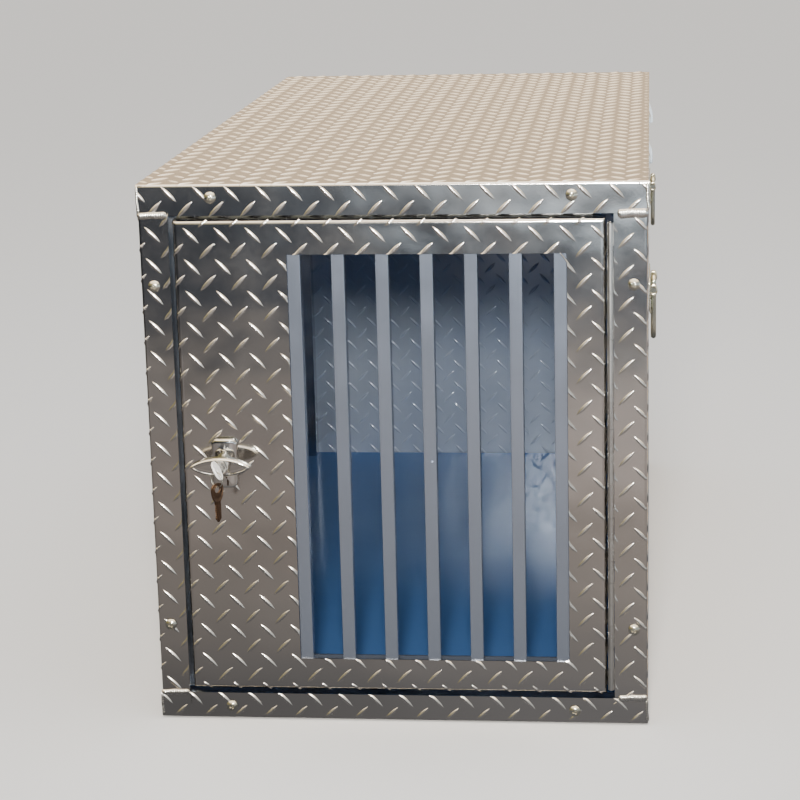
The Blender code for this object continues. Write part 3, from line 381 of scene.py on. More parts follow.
def make_sides(look, louvre_look):
    """The two side plates, folded in at the front and the rear behind the rails."""
    middle = HALF_DEPTH - LOUVRE_FROM_REAR
    vents = [
        (middle - VENT_REACH, middle + VENT_REACH, HEIGHT - drop - VENT_BELOW, HEIGHT - drop + VENT_ABOVE)
        for drop in LOUVRE_DROPS
    ]
    for name, node, out, stile, first_lug in (
        ("plate_left", "left_side_sheet", -1, 34.0, (-263.3, 565.5)),
        ("plate_right", "right_side_sheet", 1, 37.5, (272.4, 538.4)),
    ):
        low, high = extent(node)[0][2], extent(node)[1][2]
        near, far = CREST - HALF_DEPTH, HALF_DEPTH - CREST
        face = out * (HALF_WIDTH - CREST)

        def place(s, t, rise, out=out, face=face):
            y, depth = folded(s, near, far, FOLD, rise)
            return np.stack([face - out * depth, y, t], -1)

        start = unrolled(stile - CREST, near, far, FOLD, False)
        end = unrolled(REAR_STILE - CREST, near, far, FOLD, True)
        # The folded-in edges are cut away where the rails pass in front of them and behind.
        front_notch = near + FOLD - 0.2
        rear_notch = far - FOLD + 0.2
        front_low, front_high = FLOOR_FRONT_EDGE + RAIL_GAP, TOP_FRONT_EDGE - RAIL_GAP
        rear_low, rear_high = FLOOR_REAR_EDGE + RAIL_GAP, TOP_REAR_EDGE - RAIL_GAP
        notches = [
            (start - 1, front_notch, low - 1, front_low), (start - 1, front_notch, front_high, high + 1),
            (rear_notch, end + 1, low - 1, rear_low), (rear_notch, end + 1, rear_high, high + 1),
        ]
        s_cuts, t_cuts = np.ravel([v[:2] for v in vents]), np.ravel([v[2:] for v in vents])
        s = lines(fold_lines(start, end, near, far, FOLD), front_notch, rear_notch, s_cuts)
        t = lines(low, high, front_low, front_high, rear_low, rear_high, t_cuts)
        first = (unrolled(HALF_WIDTH - CREST - abs(first_lug[0]), near, far, FOLD, False), first_lug[1])
        clear = [(v[0] - 9, v[1] + 9, v[2] - 8, v[3] + 12) for v in vents]
        base = plate(s, t, cells(s, t, notches + vents), place)
        raised = lugs(
            place, (start, end), (low, high), LUG_PITCH, first, -out, holes=notches, clear=clear,
        )
        tread_piece(name, base, raised, look, "body", node)
        for number, drop in enumerate(LOUVRE_DROPS, 1):
            points, faces = louvre(out, middle, HEIGHT - drop)
            piece(f"{name}_louvre_{number}", points, faces, louvre_look, "body")


def louvre(out, middle, height):
    """A pressed hood over a vent, open along its lower edge.

    It stands off the wall by its rise times sin(v 90 deg)^0.8 (1 - u^8)^0.5, for v down
    from its upper edge and u along it. The inside is the same surface, a thickness in.
    """
    rise, thickness = 6.1, 1.3
    reach, above, tall = 50, 10, 20
    u = np.linspace(-1, 1, 49)
    v = np.linspace(0, 1, 13)
    U, V = np.meshgrid(u, v, indexing="ij")
    swell = np.sin(V * np.pi / 2) ** 0.8 * np.sqrt(1 - np.minimum(np.abs(U), 1) ** 8)
    layers = []
    for thick in (0.0, thickness):
        off = np.maximum(rise * swell - thick, -1.0)
        y = middle + U * (reach - thick * 0.8)
        z = height + above - thick * 0.6 - V * (tall - thick * 0.6)
        layers.append(np.stack([out * (HALF_WIDTH - CREST + off), y, z], -1))
    count = U.size
    index = np.arange(count).reshape(U.shape)
    outer = cell_corners(index).reshape(-1, 4)
    rim = np.concatenate([index[:, 0], index[-1, 1:], index[-2::-1, -1], index[0, -2:0:-1]])
    walls = np.stack([rim, np.roll(rim, -1), np.roll(rim, -1) + count, rim + count], -1)
    points = np.concatenate([layer.reshape(-1, 3) for layer in layers])
    return points, [outer, outer[:, ::-1] + count, walls]


def make_rear(look):
    """The rear wall: one flat plate with its tread side facing into the box."""
    lo, hi = extent("rear_sheet")

    def place(s, t, rise):
        return np.stack([s, lo[1] + CREST - rise + 0 * s, t], -1)

    s, t = lines(lo[0], hi[0]), lines(lo[2], hi[2])
    base = plate(s, t, cells(s, t, ()), place)
    raised = lugs(place, (lo[0], hi[0]), (lo[2], hi[2]), LUG_PITCH, (-262.0, 20.0), -1)
    tread_piece("plate_rear", base, raised, look, "body", "rear_sheet")


def make_door(look):
    """The door's skin, folded back on all four sides, with its window cut out."""
    lo, hi = extent("door_skin")
    near_x, far_x = lo[0] + CREST, hi[0] - CREST
    near_z, far_z = lo[2] + CREST, hi[2] - CREST
    window = (
        extent("window_bar_1")[0][0], extent("window_bar_7")[1][0], WINDOW_SILL, WINDOW_HEAD,
    )
    latch = sum(extent("latch_base")) / 2

    def place(s, t, rise):
        x, depth_x = folded(s, near_x, far_x, DOOR_FOLD, rise)
        z, depth_z = folded(t, near_z, far_z, DOOR_FOLD, rise)
        return np.stack([x, lo[1] + CREST + np.maximum(depth_x, depth_z), z], -1)

    back = hi[1] - lo[1] - CREST
    left, right = (unrolled(back, near_x, far_x, DOOR_FOLD, high) for high in (False, True))
    under, over = (unrolled(back, near_z, far_z, DOOR_FOLD, high) for high in (False, True))
    # Past these lines the fold has turned its quarter circle, and the corners are cut out.
    turn = DOOR_FOLD * (1 - math.pi / 2)
    straight_x = near_x + turn, far_x - turn
    straight_z = near_z + turn, far_z - turn
    corners = [
        (a, b, c, d)
        for a, b in ((left - 1, straight_x[0]), (straight_x[1], right + 1))
        for c, d in ((under - 1, straight_z[0]), (straight_z[1], over + 1))
    ]
    reach = 9.8
    hole = (latch[0] - reach, latch[0] + reach, latch[2] - reach, latch[2] + reach)
    s = lines(fold_lines(left, right, near_x, far_x, DOOR_FOLD), window[:2], hole[:2])
    t = lines(fold_lines(under, over, near_z, far_z, DOOR_FOLD), window[2:], hole[2:])
    base = plate(s, t, cells(s, t, [*corners, window, hole]), place)
    edge_x, edge_z = (near_x + 2, far_x - 2), (near_z + 2, far_z - 2)
    clear = [
        (a, b, c, d)
        for a, b in ((left - 30, edge_x[0]), (edge_x[1], right + 30))
        for c, d in ((under - 30, edge_z[0]), (edge_z[1], over + 30))
    ]
    raised = lugs(
        place, (left, right), (under, over), DOOR_LUG_PITCH, (-220.5, 564.2), -1,
        holes=[window, hole], clear=clear,
    )
    tread_piece("door_plate", base, raised, look, "door", "door_skin")


# Fittings

def prisms(outline, spans):
    """A flat outline (n, 2) in x and y, carried up over each span of z."""
    shapes = []
    for low, high in spans:
        rings = np.zeros((2, len(outline), 3))
        rings[..., :2] = outline
        rings[0, :, 2], rings[1, :, 2] = low, high
        shapes.append(skin(rings))
    return joined(*shapes)


def make_hinge(leaf_look, pin_look):
    """The piano hinge: rolled knuckles on each leaf in turn, and the pin through them."""
    lo, hi = extent("hinge_leaf_frame")
    door_lo, door_hi = extent("hinge_leaf_door")
    pin_lo, pin_hi = extent("hinge_pin")
    x, y = (pin_lo[0] + pin_hi[0]) / 2, (pin_lo[1] + pin_hi[1]) / 2
    radius, leaf, gap = 3.5, 1.5, 0.35
    inner = radius - leaf
    pitch = 25.4
    count = round((hi[2] - lo[2]) / pitch)
    start = math.degrees(math.asin(inner / radius))
    curl = arc((0, 0), radius, 88, 360 + start, 26)
    knuckle = np.concatenate([curl, [[radius + 1.2, inner], [radius + 1.2, radius]]])
    for name, node, body, first, reach, low, high in (
        ("hinge_frame_leaf", "hinge_leaf_frame", "body", 0, hi[0] - x, lo[2], hi[2]),
        ("hinge_door_leaf", "hinge_leaf_door", "door", 1, door_hi[1] - y, door_lo[2], door_hi[2]),
    ):
        strip = np.array([[radius + 0.8, inner], [reach, inner], [reach, radius], [radius + 0.8, radius]])
        outlines = [knuckle, strip]
        if body == "door":
            outlines = [np.stack([-o[:, 1], o[:, 0]], -1) for o in outlines]
        spans = [
            (lo[2] + k * pitch + gap / 2, lo[2] + (k + 1) * pitch - gap / 2)
            for k in range(first, count, 2)
        ]
        points, faces = joined(prisms(outlines[0], spans), prisms(outlines[1], [(low, high)]))
        piece(name, points + [x, y, 0], faces, leaf_look, body, [node])
    end = [(0.0, pin_lo[2]), (0.9, pin_lo[2]), (1.3, pin_lo[2] + 0.4)]
    profile = end + [(r, pin_lo[2] + pin_hi[2] - z) for r, z in end[::-1]]
    profile = [(max(r, 0.01), z) for r, z in profile]
    points, faces = turned(profile, 16, (x, y, 0), axis=2)
    piece("hinge_pin_rod", points, faces, pin_look, "body", ["hinge_pin"])


def screw_head(node, look):
    """A dome-head screw with a cross recess.

    Height is a dome, rise (1 - (r/R)^2.4), less the recess, which is deepest in the middle
    and has straight arms; rings of points run from the middle to the rim.
    """
    lo, hi = extent(node)
    centre = (lo + hi) / 2
    top = lo[1]
    rise, recess, arm_half, arm_reach, turn = 2.6, 1.5, 0.62, 2.5, 0.5
    share = np.array([0.02, 0.1, 0.17, 0.24, 0.31, 0.38, 0.45, 0.53, 0.62, 0.72, 0.82, 0.9, 0.96, 1.0])
    angle = 2 * np.pi * (np.arange(48) + 0.5) / 48
    R, A = np.meshgrid(share * HEAD_RADIUS, angle, indexing="ij")
    dx, dz = R * np.cos(A + turn), R * np.sin(A + turn)
    dome = rise * (1 - (R / HEAD_RADIUS) ** 2.4)
    arm = np.minimum(np.abs(R * np.cos(A)), np.abs(R * np.sin(A)))
    cut = 1 / (1 + np.exp((arm - arm_half) / 0.1)) * 1 / (1 + np.exp((R - arm_reach) / 0.12))
    height = dome - recess * cut
    rings = np.stack([centre[0] + dx, top + rise - height, centre[2] + dz], -1)
    rim = rings[-1].copy()
    rim[:, 1] = top + rise + 0.25
    shank = rim.copy()
    shank[:, [0, 2]] = centre[[0, 2]] + (rim[:, [0, 2]] - centre[[0, 2]]) * 0.45
    tip = shank.copy()
    tip[:, 1] = hi[1]
    points, faces = skin(np.concatenate([rings, rim[None], shank[None], tip[None]]))
    piece(node + "_head", points, faces, look, "body", [node])


def weld(name, start, end, width, rise, look, node=None):
    """A weld bead on the front from start to end, as overlapping ripples.

    Across it the height is rise (1 - v^2)^0.6, and along it each ripple of pitch p is a
    crescent: its phase u/p - 0.35 v^2 makes up to 0.22 of the height. The rims are sunk.
    """
    start, end, out = (np.asarray(v, float) for v in (start, end, (0, -1, 0)))
    sink = 0.6
    length = np.linalg.norm(end - start)
    along = (end - start) / length
    across = np.cross(along, out)
    steps = int(length / 0.45)
    u = np.linspace(0, 1, steps)
    v = np.linspace(-1, 1, 13)
    U, V = np.meshgrid(u, v, indexing="ij")
    pitch = 2.6
    wander = 0.35 * np.sin(U * length / 7.3 + 1.1) + 0.25 * np.sin(U * length / 3.1)
    phase = U * length / pitch - 0.35 * V**2
    ripple = np.abs(np.sin(np.pi * phase)) ** 0.7
    taper = np.clip(np.minimum(U, 1 - U) * length / 3.0, 0, 1) ** 0.5
    half = width / 2 * (0.9 + 0.1 * ripple) * (0.35 + 0.65 * taper)
    height = rise * (1 - V**2) ** 0.6 * (0.78 + 0.22 * ripple) * taper - sink * np.abs(V) ** 6
    bead = (
        start + U[..., None] * (end - start)
        + (V * half + wander * taper)[..., None] * across
        + height[..., None] * out
    )
    under = bead[:, [-1, 0]] - out * 0.8
    points, faces = skin(np.concatenate([bead, under], 1))
    piece(name, points, faces, look, "body", [node] if node else [], sharp=60)


def make_welds(look):
    """A bead where each rail meets a stile, and one along each front corner of the rails."""
    left, right = -HALF_WIDTH, HALF_WIDTH
    face, corner = 0.8 - HALF_DEPTH, 1.4 - HALF_DEPTH
    for node, x0, x1, z, width, rise in (
        ("weld_top_left", left + 0.5, left + 33.5, 586.8, 8.0, 2.2),
        ("weld_top_right", right - 33.5, right - 0.5, 585.6, 11.0, 1.9),
        ("weld_base_left", left + 0.5, left + 33.5, 31.5, 7.0, 2.2),
        ("weld_base_right", right - 33.5, right - 0.5, 32.0, 8.0, 2.0),
    ):
        weld(node + "_bead", (x0, face, z), (x1, face, z), width, rise, look, node)
    for name, x, z0, z1 in (
        ("corner_bead_top_left", left + 1.2, 588.5, 619.0),
        ("corner_bead_top_right", right - 1.2, 588.5, 619.0),
        ("corner_bead_base_left", left + 1.2, 3.0, 29.5),
        ("corner_bead_base_right", right - 1.2, 3.0, 29.5),
    ):
        weld(name, (x, corner, z0), (x, corner, z1), 3.4, 1.5, look)


def make_handle_set(name, out, plate_look, rod_look):
    """A drop handle: a stamped plate with two rolled ears, four rivets, and its bail.

    The bail's path is a straight pin, a quarter bend, a leg and a rounded corner, mirrored.
    """
    plate_node, bail_node = f"handle_plate_{name}", f"bail_{name}"
    lo, hi = extent(plate_node)
    wall = out * HALF_WIDTH
    y = (lo[1] + hi[1]) / 2
    middle = (lo[2] + hi[2]) / 2
    pivot_off = 5.4
    pivot_x, pivot_z = wall + out * pivot_off, hi[2] - 15
    shapes = []
    rings = []
    for inset, off in ((0.0, 0.4), (0.0, 1.2), (0.45, 1.75), (1.2, 2.0), (3.2, 2.0), (4.6, 1.55)):
        line = rounded(100 - 2 * inset, 40 - 2 * inset, 8 - inset, 7)
        x = np.full(len(line), wall + out * off)
        rings.append(np.stack([x, y + line[:, 0], middle + line[:, 1]], -1))
    shapes.append(skin(np.array(rings)))
    around = arc((0, 0), 1.0, 0, 360, 44)[:-1]
    ear = np.stack([np.maximum(pivot_off + 4.6 * around[:, 0], 1.0), 7.0 * around[:, 1]], -1)
    hole = around * 3.4 + [pivot_off, 0]
    for centre in (-41.0, 41.0):
        rings = []
        for share, along in (
            (0.0, -2.5), (0.3, -3.0), (0.6, -3.0), (0.9, -2.7), (1.0, -2.0),
            (1.0, 2.0), (0.9, 2.7), (0.6, 3.0), (0.3, 3.0), (0.0, 2.5),
        ):
            line = hole + (ear - hole) * share
            across = np.full(len(line), y + centre + along)
            rings.append(np.stack([wall + out * line[:, 0], across, pivot_z + line[:, 1]], -1))
        shapes.append(skin(np.array(rings), closed=True))
    dome = [(0.02, 1.35), (1.2, 1.25), (2.2, 0.85), (2.8, 0.3), (2.9, -0.4)]
    profile = [(r, wall + out * (1.6 + h)) for r, h in dome]
    for dy, dz in ((-41, -25), (41, -25), (-20, -4), (20, -4)):
        shapes.append(turned(profile, 20, (0, y + dy, pivot_z + dz), axis=0))
    points, faces = joined(*shapes)
    piece(f"drop_plate_{name}", points, faces, plate_look, "body", [plate_node])
    leg, bend, corner = 31.0, 6.0, 12.0
    drop = pivot_z - ROD_RADIUS - extent(bail_node)[0][2]
    half = np.concatenate([
        [[43.6, 0.0], [40.0, 0.0]],
        arc((leg + bend, -bend), bend, 90, 180, 8),
        [[leg, -(drop - corner + bend) / 2]],
        arc((leg - corner, corner - drop), corner, 360, 270, 10),
    ])
    path = np.concatenate([half, half[::-1] * [-1, 1]])
    path = np.stack([np.full(len(path), pivot_x), y + path[:, 0], pivot_z + path[:, 1]], -1)
    points, faces = tube(path, ROD_RADIUS, (1, 0, 0), 20)
    piece(f"drop_bail_{name}", points, faces, rod_look, bail_node, [bail_node], sharp=50)


# Latch and keys

def lens(inset):
    """The blade's outline: x is L/2 cos a and z is H/2 |sin a|^1.5, drawn in by inset."""
    lo, hi = extent("t_handle")
    a = 2 * np.pi * np.arange(64) / 64
    x = ((hi[0] - lo[0]) / 2 - inset * 1.5) * np.cos(a)
    z = (10.6 - inset) * np.sign(np.sin(a)) * np.abs(np.sin(a)) ** 1.5 - 0.9
    return np.stack([x, z], -1)


def make_latch(chrome, plug_look, key_look, spare_look, ring_look):
    """The latch base and its T handle, the lock plug, and the key, ring and spare key."""
    lo, hi = extent("t_handle")
    base_lo, base_hi = extent("latch_base")
    cx, cz = (lo[0] + hi[0]) / 2, (lo[2] + hi[2]) / 2
    front, back = lo[1], hi[1]

    width, length = base_hi[0] - base_lo[0], base_hi[2] - base_lo[2]
    stand, barrel = 8.3, 3.6
    rings = []
    for inset, below, barrelled in (
        (0.0, 7.9, 0), (0.0, 2.0, 1), (0.3, 1.1, 1), (1.0, 0.4, 1), (2.2, 0.08, 1),
        (4.5, 0.0, 1), (7.5, 0.0, 1), (10.5, 0.0, 1), (13.0, 0.0, 1),
    ):
        line = rounded(width - 2 * inset, length - 2 * inset, max(7 - inset, 0.8), 10)
        off = stand - below - barrelled * barrel * (2 * line[:, 0] / width) ** 2
        rings.append(np.stack([cx + line[:, 0], -HALF_DEPTH - off, cz - 4 + line[:, 1]], -1))
    points, faces = skin(np.array(rings))
    piece("latch_escutcheon", points, faces, chrome, "door", ["latch_base"])

    shapes = []
    rings = []
    for inset, y in (
        (3.4, back - 14.2), (1.2, back - 14.4), (0.3, back - 15.2), (0.0, back - 16.4),
        (0.0, front + 3.4), (0.25, front + 1.9), (0.8, front + 0.8), (1.5, front + 0.15), (2.0, front),
        (2.5, front + 0.1), (3.0, front + 0.7), (3.4, front + 0.8), (7.0, front + 0.75),
    ):
        line = lens(inset)
        lean = 0.08 * (9.75 - line[:, 1]) * (y < front + 2)
        rings.append(np.stack([cx + line[:, 0], y + lean, cz + line[:, 1]], -1))
    shapes.append(skin(np.array(rings)))
    hub = [
        (7.0, back - 17), (8.2, back - 15.5), (8.4, back - 13), (8.6, back - 8), (9.0, back - 3),
        (9.2, back - 1), (9.0, back), (5.0, back),
    ]
    shapes.append(turned(hub, 48, (cx, 0, cz)))
    collar = [
        (6.6, front + 1.6), (7.9, front + 1.5), (8.1, front + 0.5), (7.8, front + 0.02), (7.0, front),
        (6.75, front + 0.3),
    ]
    shapes.append(turned(collar, 48, (cx, 0, cz)))
    points, faces = joined(*shapes)
    piece("latch_handle", points, faces, chrome, "handle", ["t_handle"])

    plug_lo, plug_hi = extent("lock_plug")
    face = plug_lo[1]
    profile = [(6.2, plug_hi[1]), (6.2, face + 0.6), (5.9, face + 0.1), (5.2, face), (1.2, face)]
    points, faces = turned(profile, 40, (cx, 0, cz))
    piece("key_barrel", points, faces, plug_look, "lock", ["lock_plug"])

    key_lo, key_hi = extent("key")
    hole = np.array([cx, face - 0.6 - BOW_LENGTH + BOW_HOLE, cz])
    turn = Matrix.Rotation(math.radians(-27), 3, "Y")
    points, faces = key_shape(key_hi[1] - key_lo[1] - BOW_LENGTH, False)
    points = points @ np.array(turn).T + hole
    piece("key_in_lock", points, faces, key_look, "key", ["key"])

    ring_lo, ring_hi = extent("key_ring")
    centre = (ring_lo + ring_hi) / 2
    swing = math.radians(-35)
    flat = np.array([math.cos(swing), math.sin(swing), 0])
    normal = np.array([-flat[1], flat[0], 0])
    a = np.linspace(0, 4 * np.pi, 97)[:-1]
    # Two turns of wire side by side, which cross over where the first passes into the second.
    ring_radius, wire = 8.5, 0.42
    offset = np.clip((a - 2 * np.pi) / 0.9, -1, 1) * wire
    path = (
        centre + ring_radius * (np.cos(a)[:, None] * flat + np.sin(a)[:, None] * np.array([0, 0, 1]))
        + offset[:, None] * normal
    )
    points, faces = tube(path, wire, normal, 10)
    piece("split_ring", points, faces, ring_look, "ring", ["key_ring"], sharp=60)

    spare_lo, spare_hi = extent("spare_key")
    hole = np.array([centre[0], centre[1], spare_hi[2] - BOW_HOLE])
    turn = Matrix.Rotation(swing, 3, "Z")
    points, faces = key_shape(spare_hi[2] - spare_lo[2] - BOW_LENGTH, True)
    points = points @ np.array(turn).T + hole
    piece("key_spare", points, faces, spare_look, "spare", ["spare_key"])


def key_shape(blade, hanging):
    """A flat key about the hole in its bow, 2 mm thick.

    The bow is a ring whose outer edge is a superellipse, with rounded rims; the blade is a
    bar with a milled groove, whose lower edge is cut to five depths. It runs down when the
    key hangs and towards +Y when it is in its lock.
    """
    width, thick, hole_radius = 22.0, 2.0, 4.0
    a = 2 * np.pi * np.arange(64) / 64
    middle = BOW_HOLE - BOW_LENGTH / 2
    narrowed = 1 - (0.22 * (1 - np.cos(a)) if hanging else 0)
    outline = np.stack([
        np.sign(np.sin(a)) * np.abs(np.sin(a)) ** 0.86 * width / 2 * narrowed,
        middle + np.sign(np.cos(a)) * np.abs(np.cos(a)) ** 0.86 * BOW_LENGTH / 2,
    ], -1)
    circle = hole_radius * np.stack([np.sin(a), np.cos(a)], -1)
    rings = []
    for share, off in (
        (0.0, -0.75), (0.05, -1.0), (0.28, -1.0), (0.36, -0.72),
        (0.74, -0.72), (0.8, -1.0), (0.96, -1.0), (1.0, -0.7),
        (1.0, 0.7), (0.96, 1.0), (0.8, 1.0), (0.74, 0.72),
        (0.36, 0.72), (0.28, 1.0), (0.05, 1.0), (0.0, 0.75),
    ):
        line = circle + (outline - circle) * share
        rings.append(np.stack([np.full(len(a), off * thick / 2), line[:, 0], line[:, 1]], -1))
    bow = skin(np.array(rings), closed=True)
    reach = np.linspace(0, 1, 41)
    cuts = np.interp(reach * 5, np.arange(6), [0.0, 1.6, 0.9, 2.2, 1.2, 0.6])
    notch = np.where(reach < 0.12, 0, cuts * (0.6 + 0.4 * np.cos(reach * 60)))
    tip = np.clip((1 - reach) * 7, 0.25, 1)
    half_blade, overlap = 4.0, 1.5
    upper = half_blade * tip
    lower = -(half_blade - notch) * tip
    along = middle - BOW_LENGTH / 2 + overlap - reach * (blade + overlap)
    section = np.array([
        (-1, -1), (-1, 0.05), (-0.45, 0.1), (-0.45, 0.4), (-1, 0.45), (-1, 1),
        (1, 1), (1, -0.2), (0.5, -0.25), (0.5, -0.5), (1, -0.55), (1, -1),
    ])
    x = np.broadcast_to(section[:, 0] * thick / 2 * 0.98, (len(reach), len(section)))
    z = (lower + upper)[:, None] / 2 + section[:, 1] * (upper - lower)[:, None] / 2
    bar = skin(np.stack([x, z, np.broadcast_to(along[:, None], x.shape)], -1))
    points, faces = joined(bow, bar)
    if hanging:
        return points, faces
    return np.stack([points[:, 0], -points[:, 2], points[:, 1]], -1), faces


# Materials

def linear(code):
    """An sRGB hex colour as linear RGBA."""
    values = [int(code[i:i + 2], 16) / 255 for i in (1, 3, 5)]
    return [v / 12.92 if v <= 0.04045 else ((v + 0.055) / 1.055) ** 2.4 for v in values] + [1.0]


def node(tree, kind, inputs=None, **settings):
    """Adds a node, with its settings. An input is a value, a socket, or a node's first output."""
    made = tree.nodes.new(kind)
    for key, value in settings.items():
        setattr(made, key, value)
    for key, value in (inputs or {}).items():
        if isinstance(value, bpy.types.Node):
            value = value.outputs[0]
        if isinstance(value, bpy.types.NodeSocket):
            tree.links.new(value, made.inputs[key])
        else:
            made.inputs[key].default_value = value
    return made


def finish(name, colour, roughness, grain, grain_depth, spread, tint, cloud=45.0, wave=0.0,
           wave_size=90.0, metallic=1.0, crest=None, specular=0.5):
    """A finish with streaks of grain, clouds of handling between two tints, and slow waves.

    grain is the length in millimetres of one streak along each axis, and cloud and wave_size
    are the width of one cloud and one wave. Roughness is the given one, give or take spread.
    crest is how much rougher the lugs are.
    """
    look = bpy.data.materials.new(name)
    look.use_nodes = True
    tree = look.node_tree
    shader = tree.nodes["Principled BSDF"]
    place = node(tree, "ShaderNodeTexCoord").outputs["Object"]
    streaks = node(tree, "ShaderNodeMapping", {"Vector": place, "Scale": [1000 / g for g in grain]})
    threads = {"Vector": streaks, "Scale": 1.0, "Detail": 4.0, "Roughness": 0.6}
    fine = node(tree, "ShaderNodeTexNoise", threads)
    broad = node(tree, "ShaderNodeTexNoise", {"Vector": place, "Scale": 1000 / cloud, "Detail": 3.0})
    worn = node(tree, "ShaderNodeMapRange", {
        "Value": broad, "From Min": 0.35, "From Max": 0.68,
        "To Min": roughness - spread / 2, "To Max": roughness + spread / 2,
    })
    streaked = node(tree, "ShaderNodeMath", {0: fine, 1: spread, 2: worn}, operation="MULTIPLY_ADD")
    rough = node(tree, "ShaderNodeMath", {0: streaked, 1: -spread / 2}, operation="ADD", use_clamp=True)
    if crest:
        on_lug = node(tree, "ShaderNodeAttribute", attribute_name="crest").outputs["Fac"]
        added = {0: on_lug, 1: crest, 2: rough}
        rough = node(tree, "ShaderNodeMath", added, operation="MULTIPLY_ADD", use_clamp=True)
    tints = {"Factor": broad, "A": linear(colour), "B": linear(tint)}
    shade = node(tree, "ShaderNodeMix", tints, data_type="RGBA")
    tree.links.new(shade.outputs[2], shader.inputs["Base Color"])
    tree.links.new(rough.outputs[0], shader.inputs["Roughness"])
    shader.inputs["Metallic"].default_value = metallic
    shader.inputs["Specular IOR Level"].default_value = specular
    bump = node(tree, "ShaderNodeBump", {"Height": fine, "Strength": grain_depth, "Distance": 0.0005})
    if wave:
        slow = {"Vector": place, "Scale": 1000 / wave_size, "Detail": 1.0}
        swell = node(tree, "ShaderNodeTexNoise", slow)
        swelled = {"Height": swell, "Strength": 1.0, "Distance": wave, "Normal": bump}
        bump = node(tree, "ShaderNodeBump", swelled)
    tree.links.new(bump.outputs[0], shader.inputs["Normal"])
    return look


def make_looks():
    """Each finish, named for what it is and how its surface was made."""
    return {
        # Bright-rolled aluminium tread plate: close to a mirror, with fine rolling marks.
        # Its lugs are scuffed, so that each one glows along its whole length.
        "tread": finish("bright_rolled_aluminium", "#D9D6D2", 0.13, (6, 6, 6), 0.03, 0.05, "#CFCBC6",
                        60, 0.0012, 62, crest=0.12),
        # The plate seen inside the box: hazed, drawn along its height; its blue is a painted reflection of
        # the blue floor board.
        "inside": finish("hazed_inner_aluminium_painted_blue", "#B7C2D2", 0.13, (2.0, 6, 220), 0.22, 0.04,
                         "#9DAABD", 55, 0.0006, 62, metallic=0.52, crest=0.10),
        # Pressed aluminium hoods: bright, a little blurred.
        "louvre": finish("pressed_aluminium", "#D6D3CF", 0.22, (6, 6, 6), 0.03, 0.05, "#CBC8C3"),
        # Aluminium bars, brushed along their length, so that light draws out across them.
        "bar": finish("brushed_aluminium_bar", "#99A1AF", 0.22, (0.8, 0.8, 90), 0.10, 0.06, "#8D95A5",
                      70, metallic=0.85),
        # Mill-finish extruded tube: fairly bright and uneven, with die lines up and down.
        "tube": finish("mill_finish_aluminium", "#C4C6C8", 0.18, (1.2, 1.2, 120), 0.08, 0.10,
                       "#B4B7BC"),
        # Aluminium weld metal: bright ripples with a frosted skin.
        "weld": finish("aluminium_weld", "#DAD8D4", 0.26, (1.5, 1.5, 1.5), 0.10, 0.10, "#BDB9B2", 6),
        # Zinc-plated screw steel: bright, with a yellow cast in places.
        "screw": finish("zinc_plated_screw", "#D3D3CE", 0.22, (2, 2, 2), 0.04, 0.08, "#C8C3AE", 8),
        # Hinge aluminium as extruded: satin, with fine lines up and down.
        "hinge": finish("extruded_aluminium_hinge", "#CFCECB", 0.28, (1.0, 1.0, 60), 0.06, 0.08,
                        "#BFBDBA"),
        # Polished chrome plate: a clear mirror.
        "chrome": finish("chrome_plate", "#DDDDDC", 0.07, (3, 3, 3), 0.01, 0.03, "#D2D0CA", 12),
        # Zinc-plated steel: satin.
        "steel": finish("zinc_plated_steel", "#B9B8B2", 0.36, (2, 2, 2), 0.05, 0.10, "#A9A698", 10),
        # Satin nickel on the lock's barrel: grey, with blurred reflections.
        "plug": finish("satin_nickel_barrel", "#A8A7A4", 0.28, (1, 1, 1), 0.05, 0.06, "#8F8D88", 6),
        # Nickel-plated key: nearly white and soft, less of a mirror than bare nickel.
        "key": finish("nickel_plated_key", "#F8F7F4", 0.45, (1, 1, 6), 0.08, 0.10, "#EDEBE6", 6,
                      metallic=0.35),
        # Tarnished brass key: brown, darker in patches.
        "brass": finish("tarnished_brass_key", "#7E6450", 0.42, (1, 1, 6), 0.06, 0.12, "#4A3A30", 9),
        # Zinc-plated stamping: satin, yellowed in patches.
        "cast": finish("zinc_plated_stamping", "#CFCAB8", 0.27, (3, 3, 3), 0.05, 0.10, "#B3AC93", 18),
        # Bright-plated rod: near to a mirror, with faint lines.
        "rod": finish("bright_plated_rod", "#CDCFC6", 0.15, (2, 30, 30), 0.03, 0.06, "#B9B7A4", 14),
        # Floor board with a gloss blue laminate: deep colour, smooth but weak reflections, scuffs.
        "board": finish("gloss_blue_laminate", "#4A70A4", 0.10, (260, 45, 40), 0.35, 0.06, "#3E6398",
                        120, 0.0002, 160, metallic=0.0, specular=0.05),
    }


# The CAD nodes that are shown as they are, and the finish on each.
CAD_LOOKS = {
    "tube": ("jamb_latch_side", "jamb_hinge_side", "head_tube", "sill_tube", "rear_post_left",
             "rear_post_right", "stop_latch_side", "stop_top"),
    "bar": (*[f"window_bar_{n}" for n in range(1, 8)], "bar_rail_top", "bar_rail_bottom"),
    "board": ("floor_board",),
    "steel": ("latch_nut", "latch_shaft", "latch_cam", "cam_screw"),
}


# Stage

